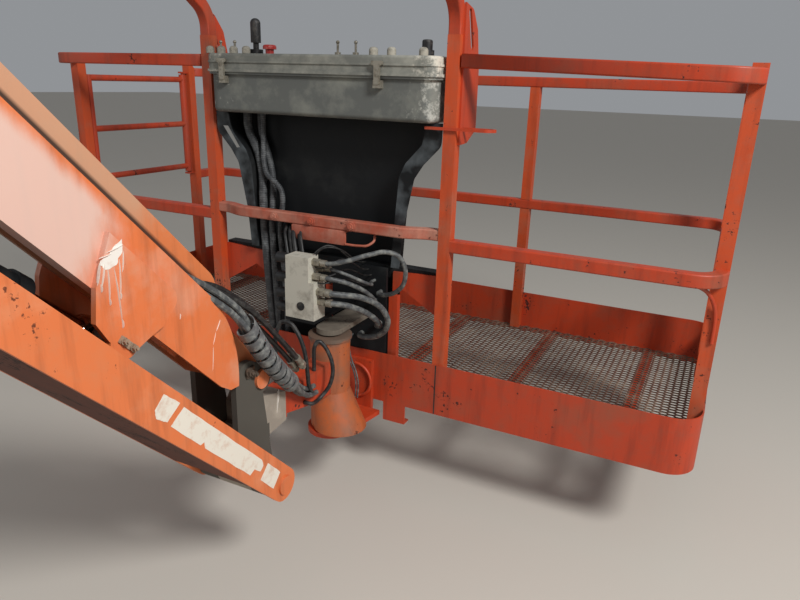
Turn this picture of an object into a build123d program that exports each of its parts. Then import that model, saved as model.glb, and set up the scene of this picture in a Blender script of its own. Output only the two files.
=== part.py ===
from build123d import *
import math
import os

# Work platform of a boom lift with its parallelogram jib, in mm.
# The origin is the knuckle's boom pin bore. +X is to the right seen from the boom,
# +Y leads out along the jib to the platform, +Z is up. The jib is parked sloping down.

# Jib
jib_angle = 46.0            # below level, as parked
jib_length = 1830.0         # pin to pin
arm_pin_gap = 285.0         # between the upper and the lower arm's pins, straight down
boom_pin_back = 190.0       # boom pin behind the upper arm's root pin
boom_pin_drop = 150.0       # boom pin below the upper arm's root pin
boom_pin_d = 60.0
arm_pin_d = 50.0
level_pin_d = 40.0
pin_play = 0.05             # radial, between a running pin and its bore

# Upper arm, a channel open below, seen along its own line
arm_half_w = 50.0
arm_wall = 8.0
arm_top = 113.0             # above the pin line
arm_bottom = -60.0
nose_radius = 60.0
nose_back = 250.0           # the nose ends this far before the front pin
arm_hub_r = 42.0
root_hub_r = 62.0

# Shroud plate that makes the hose channel on the arm's right side
shroud_gap = 26.0
shroud_wall = 6.0
shroud_top = 60.0
shroud_bottom = -80.0
shroud_root = 70.0

# Cylinder lugs under the upper arm
lug_from_front = 457.0
lug_drop = 126.0
lug_front = 393.0           # the ear's front edge, before the front pin
lug_top = 12.0
lug_wall = 12.0
lug_radius = 32.0

# Lower arm
link_arm_in = 120.0         # inside faces of its side plates
link_arm_wall = 12.0
link_arm_half_h = 44.0
link_arm_web = 8.0
web_length = 860.0
web_to_pin = 130.0

# Knuckle
cheek_in = 88.0
cheek_wall = 18.0
cheek_rim = 15.0            # steel around a bore
level_bore = (-30.0, 150.0)

# Jib cylinder
cyl_base_drop = 360.0       # its base pin, below the upper arm's root pin
cyl_base_out = 35.0         # and this far in front of it
cyl_r = 32.0
cyl_bore_r = 25.0
rod_r = 18.0
eye_r = 34.0
eye_half_w = 23.0
cyl_pin_d = 40.0
gland_to_eye = 164.0        # the gland's face before the rod's eye, as parked
gland_len = 30.0
piston_from_base = 240.0
piston_len = 35.0

# Front link, which stays upright
cheek_link_in = 54.0
cheek_link_wall = 16.0
link_hub_r = 40.0
cheek_lobe = (-48.0, 16.0)  # centre of the cheeks' round tops, from the upper pin
link_block_y = (7.0, 123.0)
link_block_z = (-190.0, -60.0)
link_block_half_x = 52.0

# Rotator, on an upright axis
pin_to_rail = 625.0         # from the link's pins to the boom side rail
pin_above_floor = 300.0
rotator_back = 195.0        # its axis before the boom side rail
rotator_r = 62.0
boot_r = 84.0               # the flared foot of its housing
boot_top = 80.0
boot_out = 36.0             # the foot stands this far to the right
rotor_r = 30.0              # the shaft through it, fast in the yoke
rotator_z = (-45.0, 262.0)  # above the platform's floor
valve_y = (-260.0, -200.0)  # from the boom side rail
valve_x = (-118.0, -16.0)
valve_z = (316.0, 508.0)
yoke_wall = 16.0
yoke_gap = 6.0

# Platform
platform_x = -150.0         # its middle, beside the jib's plane
platform_length = 2440.0
platform_depth = 910.0
toe_wall = 4.0
toe_height = 150.0
toe_lip = 24.0
toe_corner = 84.0
rail_tube = 38.0
rail_corner = 70.0
top_rail_z = 1053.0
post_above = 58.0           # the console's posts go on above the top rail
arch_wall = 6.0
horn_out = 190.0
mid_rail_z = 539.0
bow_z = 567.0               # the rail that bows out before the console's stand
bow_out = 29.0
bow_size = 34.0
post_gap = 25.0             # between the console's side and its posts' middle
mount_half_x = 100.0        # the plate behind the rotator, about the jib's plane
mount_top = 440.0
end_post_near = 95.0
end_post_far = platform_depth - 210.0
floor_wall = 4.0
floor_beam_w = 40.0

# Console
console_half_x = 415.0
console_y = (-65.0, 190.0)
console_z = (893.0, 1074.0)
console_corner = 40.0
console_lid = 56.0
stand_y = (-10.0, 67.0)     # the console's stand, a dished sheet with a rim
stand_wall = 4.0

# Gate at the left end
gate_bar_r = 12.5
gate_stile_r = 15.0
gate_z = (560.0, 1005.0)
gate_pin_r = 6.0
gate_axis_in = 26.0         # hinge axis off the far end post's face
gate_latch_gap = 8.0

half_tube = rail_tube / 2
post_x = console_half_x + post_gap
rail_half_x = platform_length / 2 - toe_wall - half_tube
rail_far_y = platform_depth - 2 * (toe_wall + half_tube)

slope = math.radians(jib_angle)
root_y = boom_pin_back
root_z = boom_pin_drop
link_y = root_y + jib_length * math.cos(slope)
link_z = root_z - jib_length * math.sin(slope)
rail_y = link_y + pin_to_rail
floor_z = link_z - pin_above_floor

at_upper_arm = Location((0, root_y, root_z), (-jib_angle, 0, 0))
at_lower_arm = Location((0, root_y, root_z - arm_pin_gap), (-jib_angle, 0, 0))
at_link = Location((0, link_y, link_z))
at_platform = Location((platform_x, rail_y, floor_z))
at_mount = Location((0, rail_y, floor_z))

eye_y = jib_length - lug_from_front
eye_up = -lug_drop
eye_world = (at_upper_arm * Pos(0, eye_y, eye_up)).position
cyl_base = Vector(0, root_y + cyl_base_out, root_z - cyl_base_drop)
cyl_run = eye_world - cyl_base
cyl_length = cyl_run.length
cyl_angle = math.degrees(math.atan2(cyl_run.Z, cyl_run.Y))
at_cylinder = Location((0, cyl_base.Y, cyl_base.Z), (cyl_angle, 0, 0))


# The valve block's ports on its right face, from the rail's plane and the floor
coil_heights = (335.0, 380.0, 430.0, 490.0)
valve_ports = [(-34, -232, 492), (-34, -208, 470), (-34, -232, 448), (-16, -238, 405), (-16, -232, 373)]

channel_hose_r = 8.0

# name, place, and for each hose its radius and the points that it runs through
hose_routes = [
    ("valve_hoses", at_mount, [
        (7, [(-18, -232, 492), (22, -232, 492), (68, -220, 504), (113, -190, 521), (161, -150, 534),
             (198, -125, 520), (213, -112, 476), (202, -98, 424), (160, -78, 384), (114, -64, 366),
             (82, -46, 362), (82, -19, 362)]),
        (5, [(-18, -208, 470), (22, -208, 470), (66, -188, 453), (98, -145, 424), (84, -80, 400),
             (58, -50, 396), (58, -19, 396)]),
        (7, [(-18, -232, 448), (20, -232, 448), (59, -205, 437), (92, -160, 408), (104, -115, 372),
             (90, -72, 342), (62, -48, 330), (62, -19, 330)]),
        (9, [(0, -238, 405), (34, -238, 405), (96, -170, 388), (134, -120, 352), (152, -98, 305),
             (135, -78, 258), (92, -62, 222), (44, -54, 208), (14, -44, 206), (14, -19, 206)]),
        (9, [(0, -232, 373), (26, -232, 373), (62, -200, 364), (96, -148, 334), (114, -104, 296),
             (106, -66, 262), (80, -46, 254), (80, -19, 254)]),
    ]),
    ("console_conduits", at_mount, [
        (14, [(-462, 25, 893), (-462, 25, 836), (-420, 24, 766), (-400, 18, 690), (-396, 8, 612),
              (-393, 5, 530), (-386, 5, 400), (-372, 5, 200), (-362, 5, 90), (-362, 5, 0)]),
        (11, [(-424, 46, 893), (-424, 46, 830), (-396, 44, 762), (-374, 38, 690), (-364, 22, 612),
              (-360, 6, 530), (-355, 4, 400), (-344, 4, 200), (-337, 4, 90), (-337, 4, 0)]),
        (9, [(-392, 18, 893), (-392, 18, 820), (-389, 8, 745), (-374, 2, 694), (-342, 2, 674),
             (-314, 4, 648), (-310, 4, 600), (-322, 2, 550), (-324, 2, 480), (-312, 2, 380),
             (-304, 2, 200), (-301, 2, 90), (-301, 2, 0)]),
    ]),
    ("hose_sleeve", at_mount, [
        (19, [(110, -762, 527), (111, -729, 488), (111, -704, 449), (109, -671, 403), (105, -631, 353),
              (97, -582, 303), (81, -519, 248), (60, -460, 196), (53, -424, 166)]),
    ]),
    ("sleeve_hoses", at_mount, [
        (6, [(-24, -440, 190), (-24, -440, 330), (-12, -428, 374), (20, -422, 370), (44, -420, 336),
             (60, -418, 290), (64, -414, 230), (60, -404, 182), (58, -382, 150), (34, -382, 150)]),
        (6, [(24, -322, 190), (24, -322, 262), (34, -314, 288), (56, -304, 262), (74, -302, 224),
             (80, -306, 186), (72, -314, 146), (56, -334, 118), (54, -364, 112), (58, -390, 120),
             (34, -390, 120)]),
    ]),
    ("arm_hoses", at_upper_arm, [
        (channel_hose_r, [(61, 76, 60), (63, 200, 66), (63, jib_length - 360, 66),
                          (65, jib_length - 300, 74), (70, jib_length - 255, 88)]),
        (channel_hose_r, [(61, 76, 42), (63, 200, 48), (63, jib_length - 350, 48),
                          (65, jib_length - 295, 56), (68, jib_length - 250, 68)]),
    ]),
]
clamp_holes = [(63, 66), (63, 48)]


def block(x0, x1, y0, y1, z0, z1):
    middle = Pos((x0 + x1) / 2, (y0 + y1) / 2, (z0 + z1) / 2)
    return middle * Box(x1 - x0, y1 - y0, z1 - z0)


def side_plate(face, x0, x1):
    """A face drawn in Y and Z, made solid from x0 to x1."""
    return extrude(Plane.YZ.offset(x0) * face, amount=x1 - x0)


def front_plate(face, y0, y1):
    """A face drawn in X and Z, made solid from y0 to y1."""
    return extrude(Plane.XZ.offset(-y1) * face, amount=y1 - y0)


def flat_plate(face, z0, z1):
    return extrude(Plane.XY.offset(z0) * face, amount=z1 - z0)


def cross_round(y, z, r, x0, x1):
    return side_plate(Pos(y, z) * Circle(r), x0, x1)


def upright_round(x, y, r, z0, z1):
    return flat_plate(Pos(x, y) * Circle(r), z0, z1)


def outline(*points):
    return make_face(Polyline(*points, close=True))


def both_sides(shape):
    return shape + mirror(shape, about=Plane.YZ)


def bent_tube(points, size, corner):
    """A square tube along level or upright points, with round corners."""
    path = FilletPolyline(*points, radius=corner) if len(points) > 2 else Line(*points)
    section = Plane(path @ 0, z_dir=path % 0) * RectangleRounded(size, size, 5)
    return sweep(section, path=path)


def hose(points, r):
    """A round tube along points. Each corner's arc takes 0.45 of its shorter run."""
    radii = []
    for a, b, c in zip(points, points[1:], points[2:]):
        run_in = Vector(*b) - Vector(*a)
        run_out = Vector(*c) - Vector(*b)
        half_turn = math.radians(run_in.get_angle(run_out)) / 2
        radii.append(0.45 * min(run_in.length, run_out.length) / math.tan(half_turn))
    path = FilletPolyline(*points, radius=radii)
    section = Plane(path @ 0, z_dir=path % 0) * Circle(r)
    return sweep(section, path=path)


def keep(name, shape, place=Location()):
    moved = place * shape
    export_step(Compound(children=list(moved.solids())), f"parts/{name}.step")
    print(name, len(moved.solids()), round(moved.volume / 1e6, 2))


# The knuckle at the jib's root: two cheeks, and the tubes and stub pins between them
def make_knuckle():
    arm_bore = (root_y, root_z)
    lower_bore = (root_y, root_z - arm_pin_gap)
    base_bore = (cyl_base.Y, cyl_base.Z)
    # centre, cheek radius round it, bore diameter
    bores = [
        (arm_bore, 66.0, arm_pin_d),
        (lower_bore, 56.0, arm_pin_d),
        (base_bore, 52.0, cyl_pin_d),
        ((0, 0), 62.0, boom_pin_d),
        (level_bore, 48.0, level_pin_d),
    ]
    cheek = make_hull([Pos(y, z) * Circle(r).edge() for (y, z), r, d in bores])
    cheek -= Pos(90, 30) * SlotOverall(120, 56, rotation=70)
    reach = cheek_in + cheek_wall
    for (y, z), r, d in bores:
        cheek -= Pos(y, z) * Circle(d / 2)
    keep("boom_knuckle", both_sides(side_plate(cheek, cheek_in, reach)))
    tubes = []
    for (y, z), d in [((0, 0), boom_pin_d), (level_bore, level_pin_d)]:
        ring = Pos(y, z) * (Circle(d / 2 + cheek_rim) - Circle(d / 2))
        tubes.append(side_plate(ring, -cheek_in, cheek_in))
    keep("knuckle_tubes", Compound(children=tubes))

    pins = cross_round(*arm_bore, arm_pin_d / 2, -reach - 8, reach + 8)
    for side in (-1, 1):
        x0, x1 = sorted((side * cheek_in, side * (link_arm_in + link_arm_wall + 6)))
        pins += cross_round(*lower_bore, arm_pin_d / 2, x0, x1)
    pins += cross_round(*base_bore, cyl_pin_d / 2, -reach - 6, reach + 6)
    keep("knuckle_pins", pins)

    spacer = Circle(30) - Circle(cyl_pin_d / 2)
    collar = side_plate(Pos(*base_bore) * spacer, eye_half_w + 10, cheek_in)
    keep("base_pin_collars", both_sides(collar))


# The upper arm: a folded channel, its root tube and its front tongue
def make_upper_arm():
    nose_y = jib_length - nose_back
    bend_y = nose_y - nose_radius
    low_y = jib_length - arm_hub_r - 20
    turn = Pos(bend_y, arm_top - nose_radius)

    def arm_side(inset, bottom):
        top = arm_top - inset
        shape = outline(
            (0, bottom), (0, top), (bend_y, top), (bend_y, 0), (nose_y - inset, top - nose_radius),
            (low_y, arm_hub_r - inset), (low_y, -arm_hub_r), (low_y - 60, bottom),
        )
        return shape + turn * Circle(nose_radius - inset)

    wall = arm_side(0, arm_bottom)
    bore = arm_pin_d / 2 + pin_play
    wall += Circle(root_hub_r + 10)
    skin = arm_side(0, arm_bottom) - arm_side(arm_wall, arm_bottom - 30)
    skin &= outline((60, -200), (60, 200), (jib_length, 200), (jib_length, -200))
    body = side_plate(skin, -arm_half_w, arm_half_w)
    body += both_sides(side_plate(wall, arm_half_w - arm_wall, arm_half_w))
    body += cross_round(0, 0, root_hub_r, -cheek_in + 6, cheek_in - 6)
    tongue = outline((low_y - 60, -38), (low_y - 60, 38), (jib_length, arm_hub_r), (jib_length, -arm_hub_r))
    tongue += Pos(jib_length, 0) * Circle(arm_hub_r)
    body += side_plate(tongue, -arm_half_w, arm_half_w)
    body -= cross_round(0, 0, bore, -cheek_in, cheek_in)
    body -= cross_round(jib_length, 0, bore, -cheek_in, cheek_in)
    keep("upper_arm_box", body, at_upper_arm)

    x0 = arm_half_w + shroud_gap
    front = jib_length - 84.0
    arc_top = jib_length - 287.0
    plate = make_face(
        Polyline(
            (front + 2, -53), (front - 18, -72), (front - 54, shroud_bottom),
            (shroud_root, shroud_bottom), (shroud_root, shroud_top), (arc_top, shroud_top),
        )
        + ThreePointArc((arc_top, shroud_top), (jib_length - 158, 14), (front + 2, -53))
    )
    shroud = side_plate(plate, x0, x0 + shroud_wall)
    shroud += block(arm_half_w, x0, shroud_root, front - 260, shroud_bottom, shroud_bottom + shroud_wall)
    for share in (0.09, 0.42, 0.73):
        shroud += cross_round(share * jib_length, -30, 14, arm_half_w, x0)
    shroud += block(arm_half_w, arm_half_w + 4, shroud_root, front - 200, shroud_bottom, arm_bottom + 10)
    keep("arm_shroud", shroud, at_upper_arm)

    clamps = []
    for y in (0.16 * jib_length, 0.44 * jib_length, 0.71 * jib_length):
        clamp = block(arm_half_w, x0 - 2, y - 11, y + 11, 38, 76)
        for x, z in clamp_holes:
            clamp -= front_plate(Pos(x, z) * Circle(channel_hose_r), y - 12, y + 12)
        clamps.append(clamp)
    keep("hose_clamps", Compound(children=clamps), at_upper_arm)


def make_lugs():
    y, z = eye_y, eye_up
    front = jib_length - lug_front
    low = outline(
        (front, lug_top), (front, -54), (front - 18, -91), (y + lug_radius, z),
        (y - lug_radius, z - 14), (y - 77, z - 3), (y - 116, z + 47), (y - 153, lug_top),
    )
    ear = fillet(low.vertices().group_by(Axis.X)[-1], 26)
    ear += Pos(y, z) * Circle(lug_radius)
    right = arm_half_w + shroud_gap + shroud_wall
    lugs = side_plate(ear, right, right + lug_wall)
    lugs += side_plate(ear, -arm_half_w - lug_wall, -arm_half_w)
    keep("cylinder_lugs", lugs, at_upper_arm)
    pin_gap = eye_half_w + 5
    boss = cross_round(y, z, cyl_pin_d / 2, pin_gap, right)
    boss += cross_round(y, z, cyl_pin_d / 2, -arm_half_w, -pin_gap)
    keep("eye_pin_ends", boss, at_upper_arm)


# The lower arm: two side plates round the knuckle and the link, tied by a web below
def make_lower_arm():
    side = SlotCenterToCenter(jib_length, 2 * link_arm_half_h)
    side = Pos(jib_length / 2, 0) * side
    for y in (0, jib_length):
        side -= Pos(y, 0) * Circle(arm_pin_d / 2 + pin_play)
    plate = side_plate(side, link_arm_in, link_arm_in + link_arm_wall)
    keep("lower_arm_sides", both_sides(plate), at_lower_arm)
    web_end = jib_length - web_to_pin
    web = block(-link_arm_in, link_arm_in, web_end - web_length, web_end,
                -link_arm_half_h, -link_arm_half_h + link_arm_web)
    keep("lower_arm_web", web, at_lower_arm)


# The jib cylinder, drawn along its own line from the base pin to the rod's eye
def make_cylinder():
    gland = cyl_length - gland_to_eye

    def turned(r, y0, y1):
        return extrude(Plane.XZ.offset(-y1) * Circle(r), amount=y1 - y0)

    barrel = turned(cyl_r, 30, gland) - turned(cyl_bore_r, 70, gland + 1)
    collar = turned(cyl_r + 5, gland - gland_len, gland)
    barrel += collar - turned(rod_r + 0.1, gland - gland_len - 1, gland + 1)
    barrel += cross_round(0, 0, eye_r + 4, -eye_half_w - 8, eye_half_w + 8)
    barrel -= cross_round(0, 0, cyl_pin_d / 2 + pin_play, -60, 60)
    barrel += cross_round(110, cyl_r + 6, 12, -12, 12)
    keep("cylinder_barrel", barrel, at_cylinder)
    rod = turned(rod_r, piston_from_base, cyl_length - 20)
    rod += turned(cyl_bore_r - 0.1, piston_from_base, piston_from_base + piston_len)
    rod += cross_round(cyl_length, 0, eye_r, -eye_half_w, eye_half_w)
    keep("cylinder_rod", rod, at_cylinder)


# The front link stands upright, and carries the rotator on its arm
def make_link():
    low = -arm_pin_gap
    y0, y1 = link_block_y
    z0, z1 = link_block_z
    rounds = [(cheek_lobe, 45.0), ((cheek_lobe[0], z0), 45.0), ((0, low), link_hub_r)]
    cheek = make_hull([Pos(y, z) * Circle(r).edge() for (y, z), r in rounds]) + Circle(link_hub_r)
    body = both_sides(side_plate(cheek, cheek_link_in, cheek_link_in + cheek_link_wall))
    cast = outline((y0, z1 - 32), (y0 + 22, z1 - 6), (y1, z1 - 32), (y1, z0 + 12), (y0, z0))
    body += side_plate(cast, -link_block_half_x, link_block_half_x)
    neck = outline((y0 - 47, z0 - 22), (y0 + 40, z0), (y0 + 40, z0 + 40), (y0 - 11, z0 + 38))
    body += side_plate(neck, -cheek_link_in, cheek_link_in)
    body += cross_round(0, low, link_hub_r, -link_arm_in + 5, link_arm_in - 5)
    reach = cheek_link_in + cheek_link_wall
    body -= cross_round(0, low, arm_pin_d / 2, -link_arm_in, link_arm_in)
    body -= cross_round(0, 0, arm_pin_d / 2, -reach - 1, reach + 1)
    keep("front_link", body, at_link)
    pins = cross_round(0, 0, arm_pin_d / 2, -reach - 8, reach + 8)
    end = link_arm_in + link_arm_wall + 6
    pins += cross_round(0, low, arm_pin_d / 2, -end, end)
    keep("link_pins", pins, at_link)


def make_rotator():
    z0, z1 = rotator_z
    cy = -rotator_back
    body = upright_round(0, cy, rotator_r, z0, z1)
    foot = Plane.XY.offset(z0) * Pos(boot_out, cy) * Circle(boot_r)
    waist = Plane.XY.offset(boot_top) * Pos(0, cy) * Circle(rotator_r)
    body += loft([foot, waist])
    body += upright_round(0, cy, rotator_r + 5, z1 - 12, z1)
    body -= upright_round(0, cy, rotor_r + pin_play, z0 - 1, z1 + 1)
    reach = yoke_gap + yoke_wall
    keep("rotator_shaft", upright_round(0, cy, rotor_r, z0 - reach, z1 + reach), at_mount)
    back = -pin_to_rail + link_block_y[1]
    front = cy - 40
    arm = side_plate(outline((back, 130), (back, 190), (front, 190), (front, 84), (back + 152, 95)), -34, 34)
    plate = block(-46, 46, back, back + 12, 124, 200)
    arm = arm + plate
    keep("support_arm", arm - body, at_mount)
    keep("rotator_housing", body, at_mount)


# The yoke turns with the platform: an arm over and a plate under the rotator
def make_yoke():
    z0, z1 = rotator_z
    toe_face = -half_tube - toe_wall
    cy = -rotator_back
    top0 = z1 + yoke_gap
    low0 = z0 - yoke_gap - yoke_wall
    bore = Pos(0, cy) * Circle(rotor_r)
    arm = outline((-42, cy), (42, cy), (42, -half_tube), (-42, -half_tube)) + Pos(0, cy) * Circle(42) - bore
    keep("yoke_arm", flat_plate(arm, top0, top0 + yoke_wall), at_mount)
    back = toe_face - yoke_wall
    flare = outline((-70, cy), (70, cy), (96, back), (-96, back)) + Pos(0, cy) * Circle(72) - bore
    body = flat_plate(flare, low0, low0 + yoke_wall)
    body += block(-62, 62, back, toe_face, low0, toe_height - 30)
    keep("rotator_yoke", body, at_mount)
    ring = ThreePointArc((2, 105), (62, 50), (12, -14))
    loop = Plane.XZ.offset(-back + 5) * ring
    section = Plane(loop @ 0, z_dir=loop % 0) * Circle(5)
    keep("hose_guard", sweep(section, path=loop), at_mount)


# The valve block stands on a shelf that the mount's back plate carries
def make_valve():
    x0, x1 = valve_x
    y0, y1 = valve_y
    z0, z1 = valve_z
    step = z0 + 118
    body = block(x0, x1, y0, y1, z0, step)
    body += block(x0 + 4, x1 - 18, y0, y1 - 6, step, z1)
    keep("valve_block", body, at_mount)
    ports = []
    for x, y, z in valve_ports:
        ports.append(Pos(x, y, z) * Rot(0, 90, 0) * extrude(RegularPolygon(12, 6), amount=16))
    keep("valve_ports", Compound(children=ports), at_mount)
    coils = [cross_round((y0 + y1) / 2, z, 16, x0 - 44, x0 + 4 * (z > step)) for z in coil_heights]
    keep("valve_coils", Compound(children=coils), at_mount)
    back = block(-mount_half_x, mount_half_x, -half_tube, -7, toe_height, mount_top)
    shelf = block(x0, x1, y0, -half_tube, z0 - 10, z0)
    web = side_plate(outline((-half_tube, z0 - 10), (-half_tube, z0 - 32), (y1, z0 - 10)), x0 + 20, x0 + 28)
    keep("mount_plate", back + shelf + web, at_mount)


# Hoses are whole, from the port that they leave to the fitting that they end in
def make_hoses():
    for name, place, tubes in hose_routes:
        keep(name, Compound(children=[hose(points, r) for r, points in tubes]), place)


# Platform: floor, toe boards, rails and posts
def make_floor():
    length, depth = platform_length - 2 * toe_wall, platform_depth - 2 * toe_wall
    inside = RectangleRounded(length, depth, toe_corner - toe_wall)
    sheet = Pos(0, rail_far_y / 2) * inside
    keep("floor_panel", flat_plate(sheet, -floor_wall, 0), at_platform)
    beams = []
    half = floor_beam_w / 2
    pitch = platform_length / 6.1
    for n in range(6):
        x = (n - 2.5) * pitch
        beams.append(block(x - half, x + half, -half_tube, rail_far_y + half_tube, -toe_lip, -floor_wall))
    keep("floor_beams", Compound(children=beams), at_platform)


def make_toe_boards():
    outer = RectangleRounded(platform_length, platform_depth, toe_corner)
    length, depth = platform_length - 2 * toe_wall, platform_depth - 2 * toe_wall
    inner = RectangleRounded(length, depth, toe_corner - toe_wall)
    ring = flat_plate(Pos(0, rail_far_y / 2) * (outer - inner), -toe_lip, toe_height)
    ends = platform_length / 2 + 1
    low_y = -half_tube - toe_wall - 1
    high_y = rail_far_y - low_y
    cut = toe_corner + 6
    zones = [
        (-ends, ends, low_y, low_y + cut),
        (-ends, ends, high_y - cut, high_y),
        (-ends, -ends + cut, low_y + cut, high_y - cut),
        (ends - cut, ends, low_y + cut, high_y - cut),
    ]
    boards = [ring & block(*zone, -toe_lip, toe_height) for zone in zones]
    keep("toe_boards", Compound(children=boards), at_platform)


def make_rails():
    x = rail_half_x
    y1 = rail_far_y
    top = []
    mid = []
    post_face = post_x + half_tube
    for z, rails, start in ((top_rail_z, top, post_face + arch_wall), (mid_rail_z, mid, post_face)):
        for side in (-1, 1):
            points = [(side * start, 0, z), (side * x, 0, z), (side * x, end_post_near - half_tube, z)]
            rails.append(bent_tube(points, rail_tube, rail_corner))
        far = [(-x, end_post_far + half_tube, z), (-x, y1, z), (x, y1, z), (x, end_post_far + half_tube, z)]
        rails.append(bent_tube(far, rail_tube, rail_corner))
        end = [(x, end_post_near + half_tube, z), (x, end_post_far - half_tube, z)]
        rails.append(bent_tube(end, rail_tube, 0))
    keep("top_rails", Compound(children=top), at_platform)
    keep("mid_rails", Compound(children=mid), at_platform)
    bow = post_x - half_tube
    z = bow_z
    right = [(bow - 110, -bow_out, z), (bow - 40, 0, z), (bow, 0, z)]
    left = [(-x, y, z) for x, y, z in reversed(right)]
    keep("bow_rail", bent_tube(left + right, bow_size, 90), at_platform)
    front = bow_out + bow_size / 2
    plate = block(-88, 116, -front - 6, -front, 487, z)
    keep("bow_plate", plate, at_platform)
    y = -front - 3
    hook = hose([(116, y, 508), (150, y, 508), (196, y, 512), (214, y + 15, 528), (206, y + 29, 545)], 4)
    keep("bow_hook", hook, at_platform)


def make_posts():
    posts = []
    half = half_tube
    top = top_rail_z + half
    for x in (-post_x, post_x):
        posts.append(block(x - half, x + half, -half, half, 0, top + post_above))
        for z0, z1 in ((0, mid_rail_z - half), (mid_rail_z + half, top_rail_z - half)):
            posts.append(block(x - half, x + half, rail_far_y - half, rail_far_y + half, z0, z1))
    for x in (-rail_half_x, rail_half_x):
        for y in (end_post_near, end_post_far):
            posts.append(block(x - half, x + half, y - half, y + half, 0, top))
    keep("posts", Compound(children=posts), at_platform)


def make_arches():
    top = top_rail_z + half_tube
    plates = []
    for side in (-1, 1):
        shape = outline((0, 835), (58, 838), (128, 872), (124, 1040), (98, 1149), (56, 1200), (0, 1212))
        shape = fillet(shape.vertices().filter_by(lambda v: v.X > 50), 24)
        shape -= Pos(46, 1146) * SlotOverall(112, 20, rotation=108)
        x0 = side * (post_x + half_tube) - arch_wall * (side < 0)
        plates.append(side_plate(shape, x0, x0 + arch_wall))
    keep("arch_plates", Compound(children=plates), at_platform)
    horns = []
    z = top + post_above
    for side in (-1, 1):
        x = side * post_x
        path = [(x, 0, z), (x, 0, z + 70), (x, -horn_out, z + 200)]
        horns.append(bent_tube(path, rail_tube, 90))
    keep("arch_horns", Compound(children=horns), at_platform)
    reach = post_x + half_tube
    bar = block(-reach, reach, -horn_out - 38, -horn_out - 10, z + 180, z + 218)
    keep("arch_bar", bar - horns, at_platform)


def make_mount():
    inner = post_x - half_tube
    beam = block(-inner, inner, half_tube + 3, half_tube + 43, 400, 440)
    keep("mount_beam", beam, at_platform)
    plate = outline((inner, 294), (inner, 432), (inner - 164, 424), (inner - 164, 352), (inner - 131, 371))
    keep("mount_gussets", both_sides(front_plate(plate, half_tube - 5, half_tube + 3)), at_platform)
    uprights = []
    for x in (30.0, 270.0):
        uprights.append(block(x - 15, x + 15, -7, half_tube - 5, 0, 350))
    keep("mount_uprights", Compound(children=uprights), at_platform)
    toe_face = -half_tube - toe_wall
    angle = block(251, 331, toe_face, toe_face + 5, -86, -toe_lip)
    angle += block(251, 331, toe_face, toe_face + 34, -91, -86)
    keep("toe_angle", angle, at_platform)


def make_stand():
    y0, y1 = stand_y
    # height, then how far the rim's outside and the hollow's wall stand in from the console's side
    rows = [
        (893, 0, 49),
        (828, 2, 63),
        (772, 56, 115),
        (728, 85, 135),
        (574, 116, 147),
        (444, 127, 155),
    ]
    side = console_half_x
    right = [(side - rim, z) for z, rim, wall in rows]
    hollow = [(side - wall, z) for z, rim, wall in rows]
    outside = outline(*right, *[(-x, z) for x, z in reversed(right)])
    inside = outline(*hollow, *[(-x, z) for x, z in reversed(hollow)])
    corners = outside.vertices().filter_by(lambda v: 700 < v.Y < 850)
    outside = fillet(corners, 34)
    inside = fillet(inside.vertices().filter_by(lambda v: 700 < v.Y < 850), 30)
    tray = front_plate(outside - inside, y0, y0 + stand_wall)
    lining = offset(inside, amount=stand_wall, kind=Kind.INTERSECTION)
    lining &= outside
    tray += front_plate(lining - inside, y0, y1)
    tray += front_plate(lining, y1 - stand_wall, y1)
    tray += block(157 - side, side - 157, y1 - stand_wall, y1, 0, 446)
    slot = outline((23 - side, 846), (47 - side, 846), (93 - side, 778), (77 - side, 776))
    tray -= front_plate(slot, y0 - 1, y0 + stand_wall + 1)
    keep("console_stand", tray, at_platform)


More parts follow.
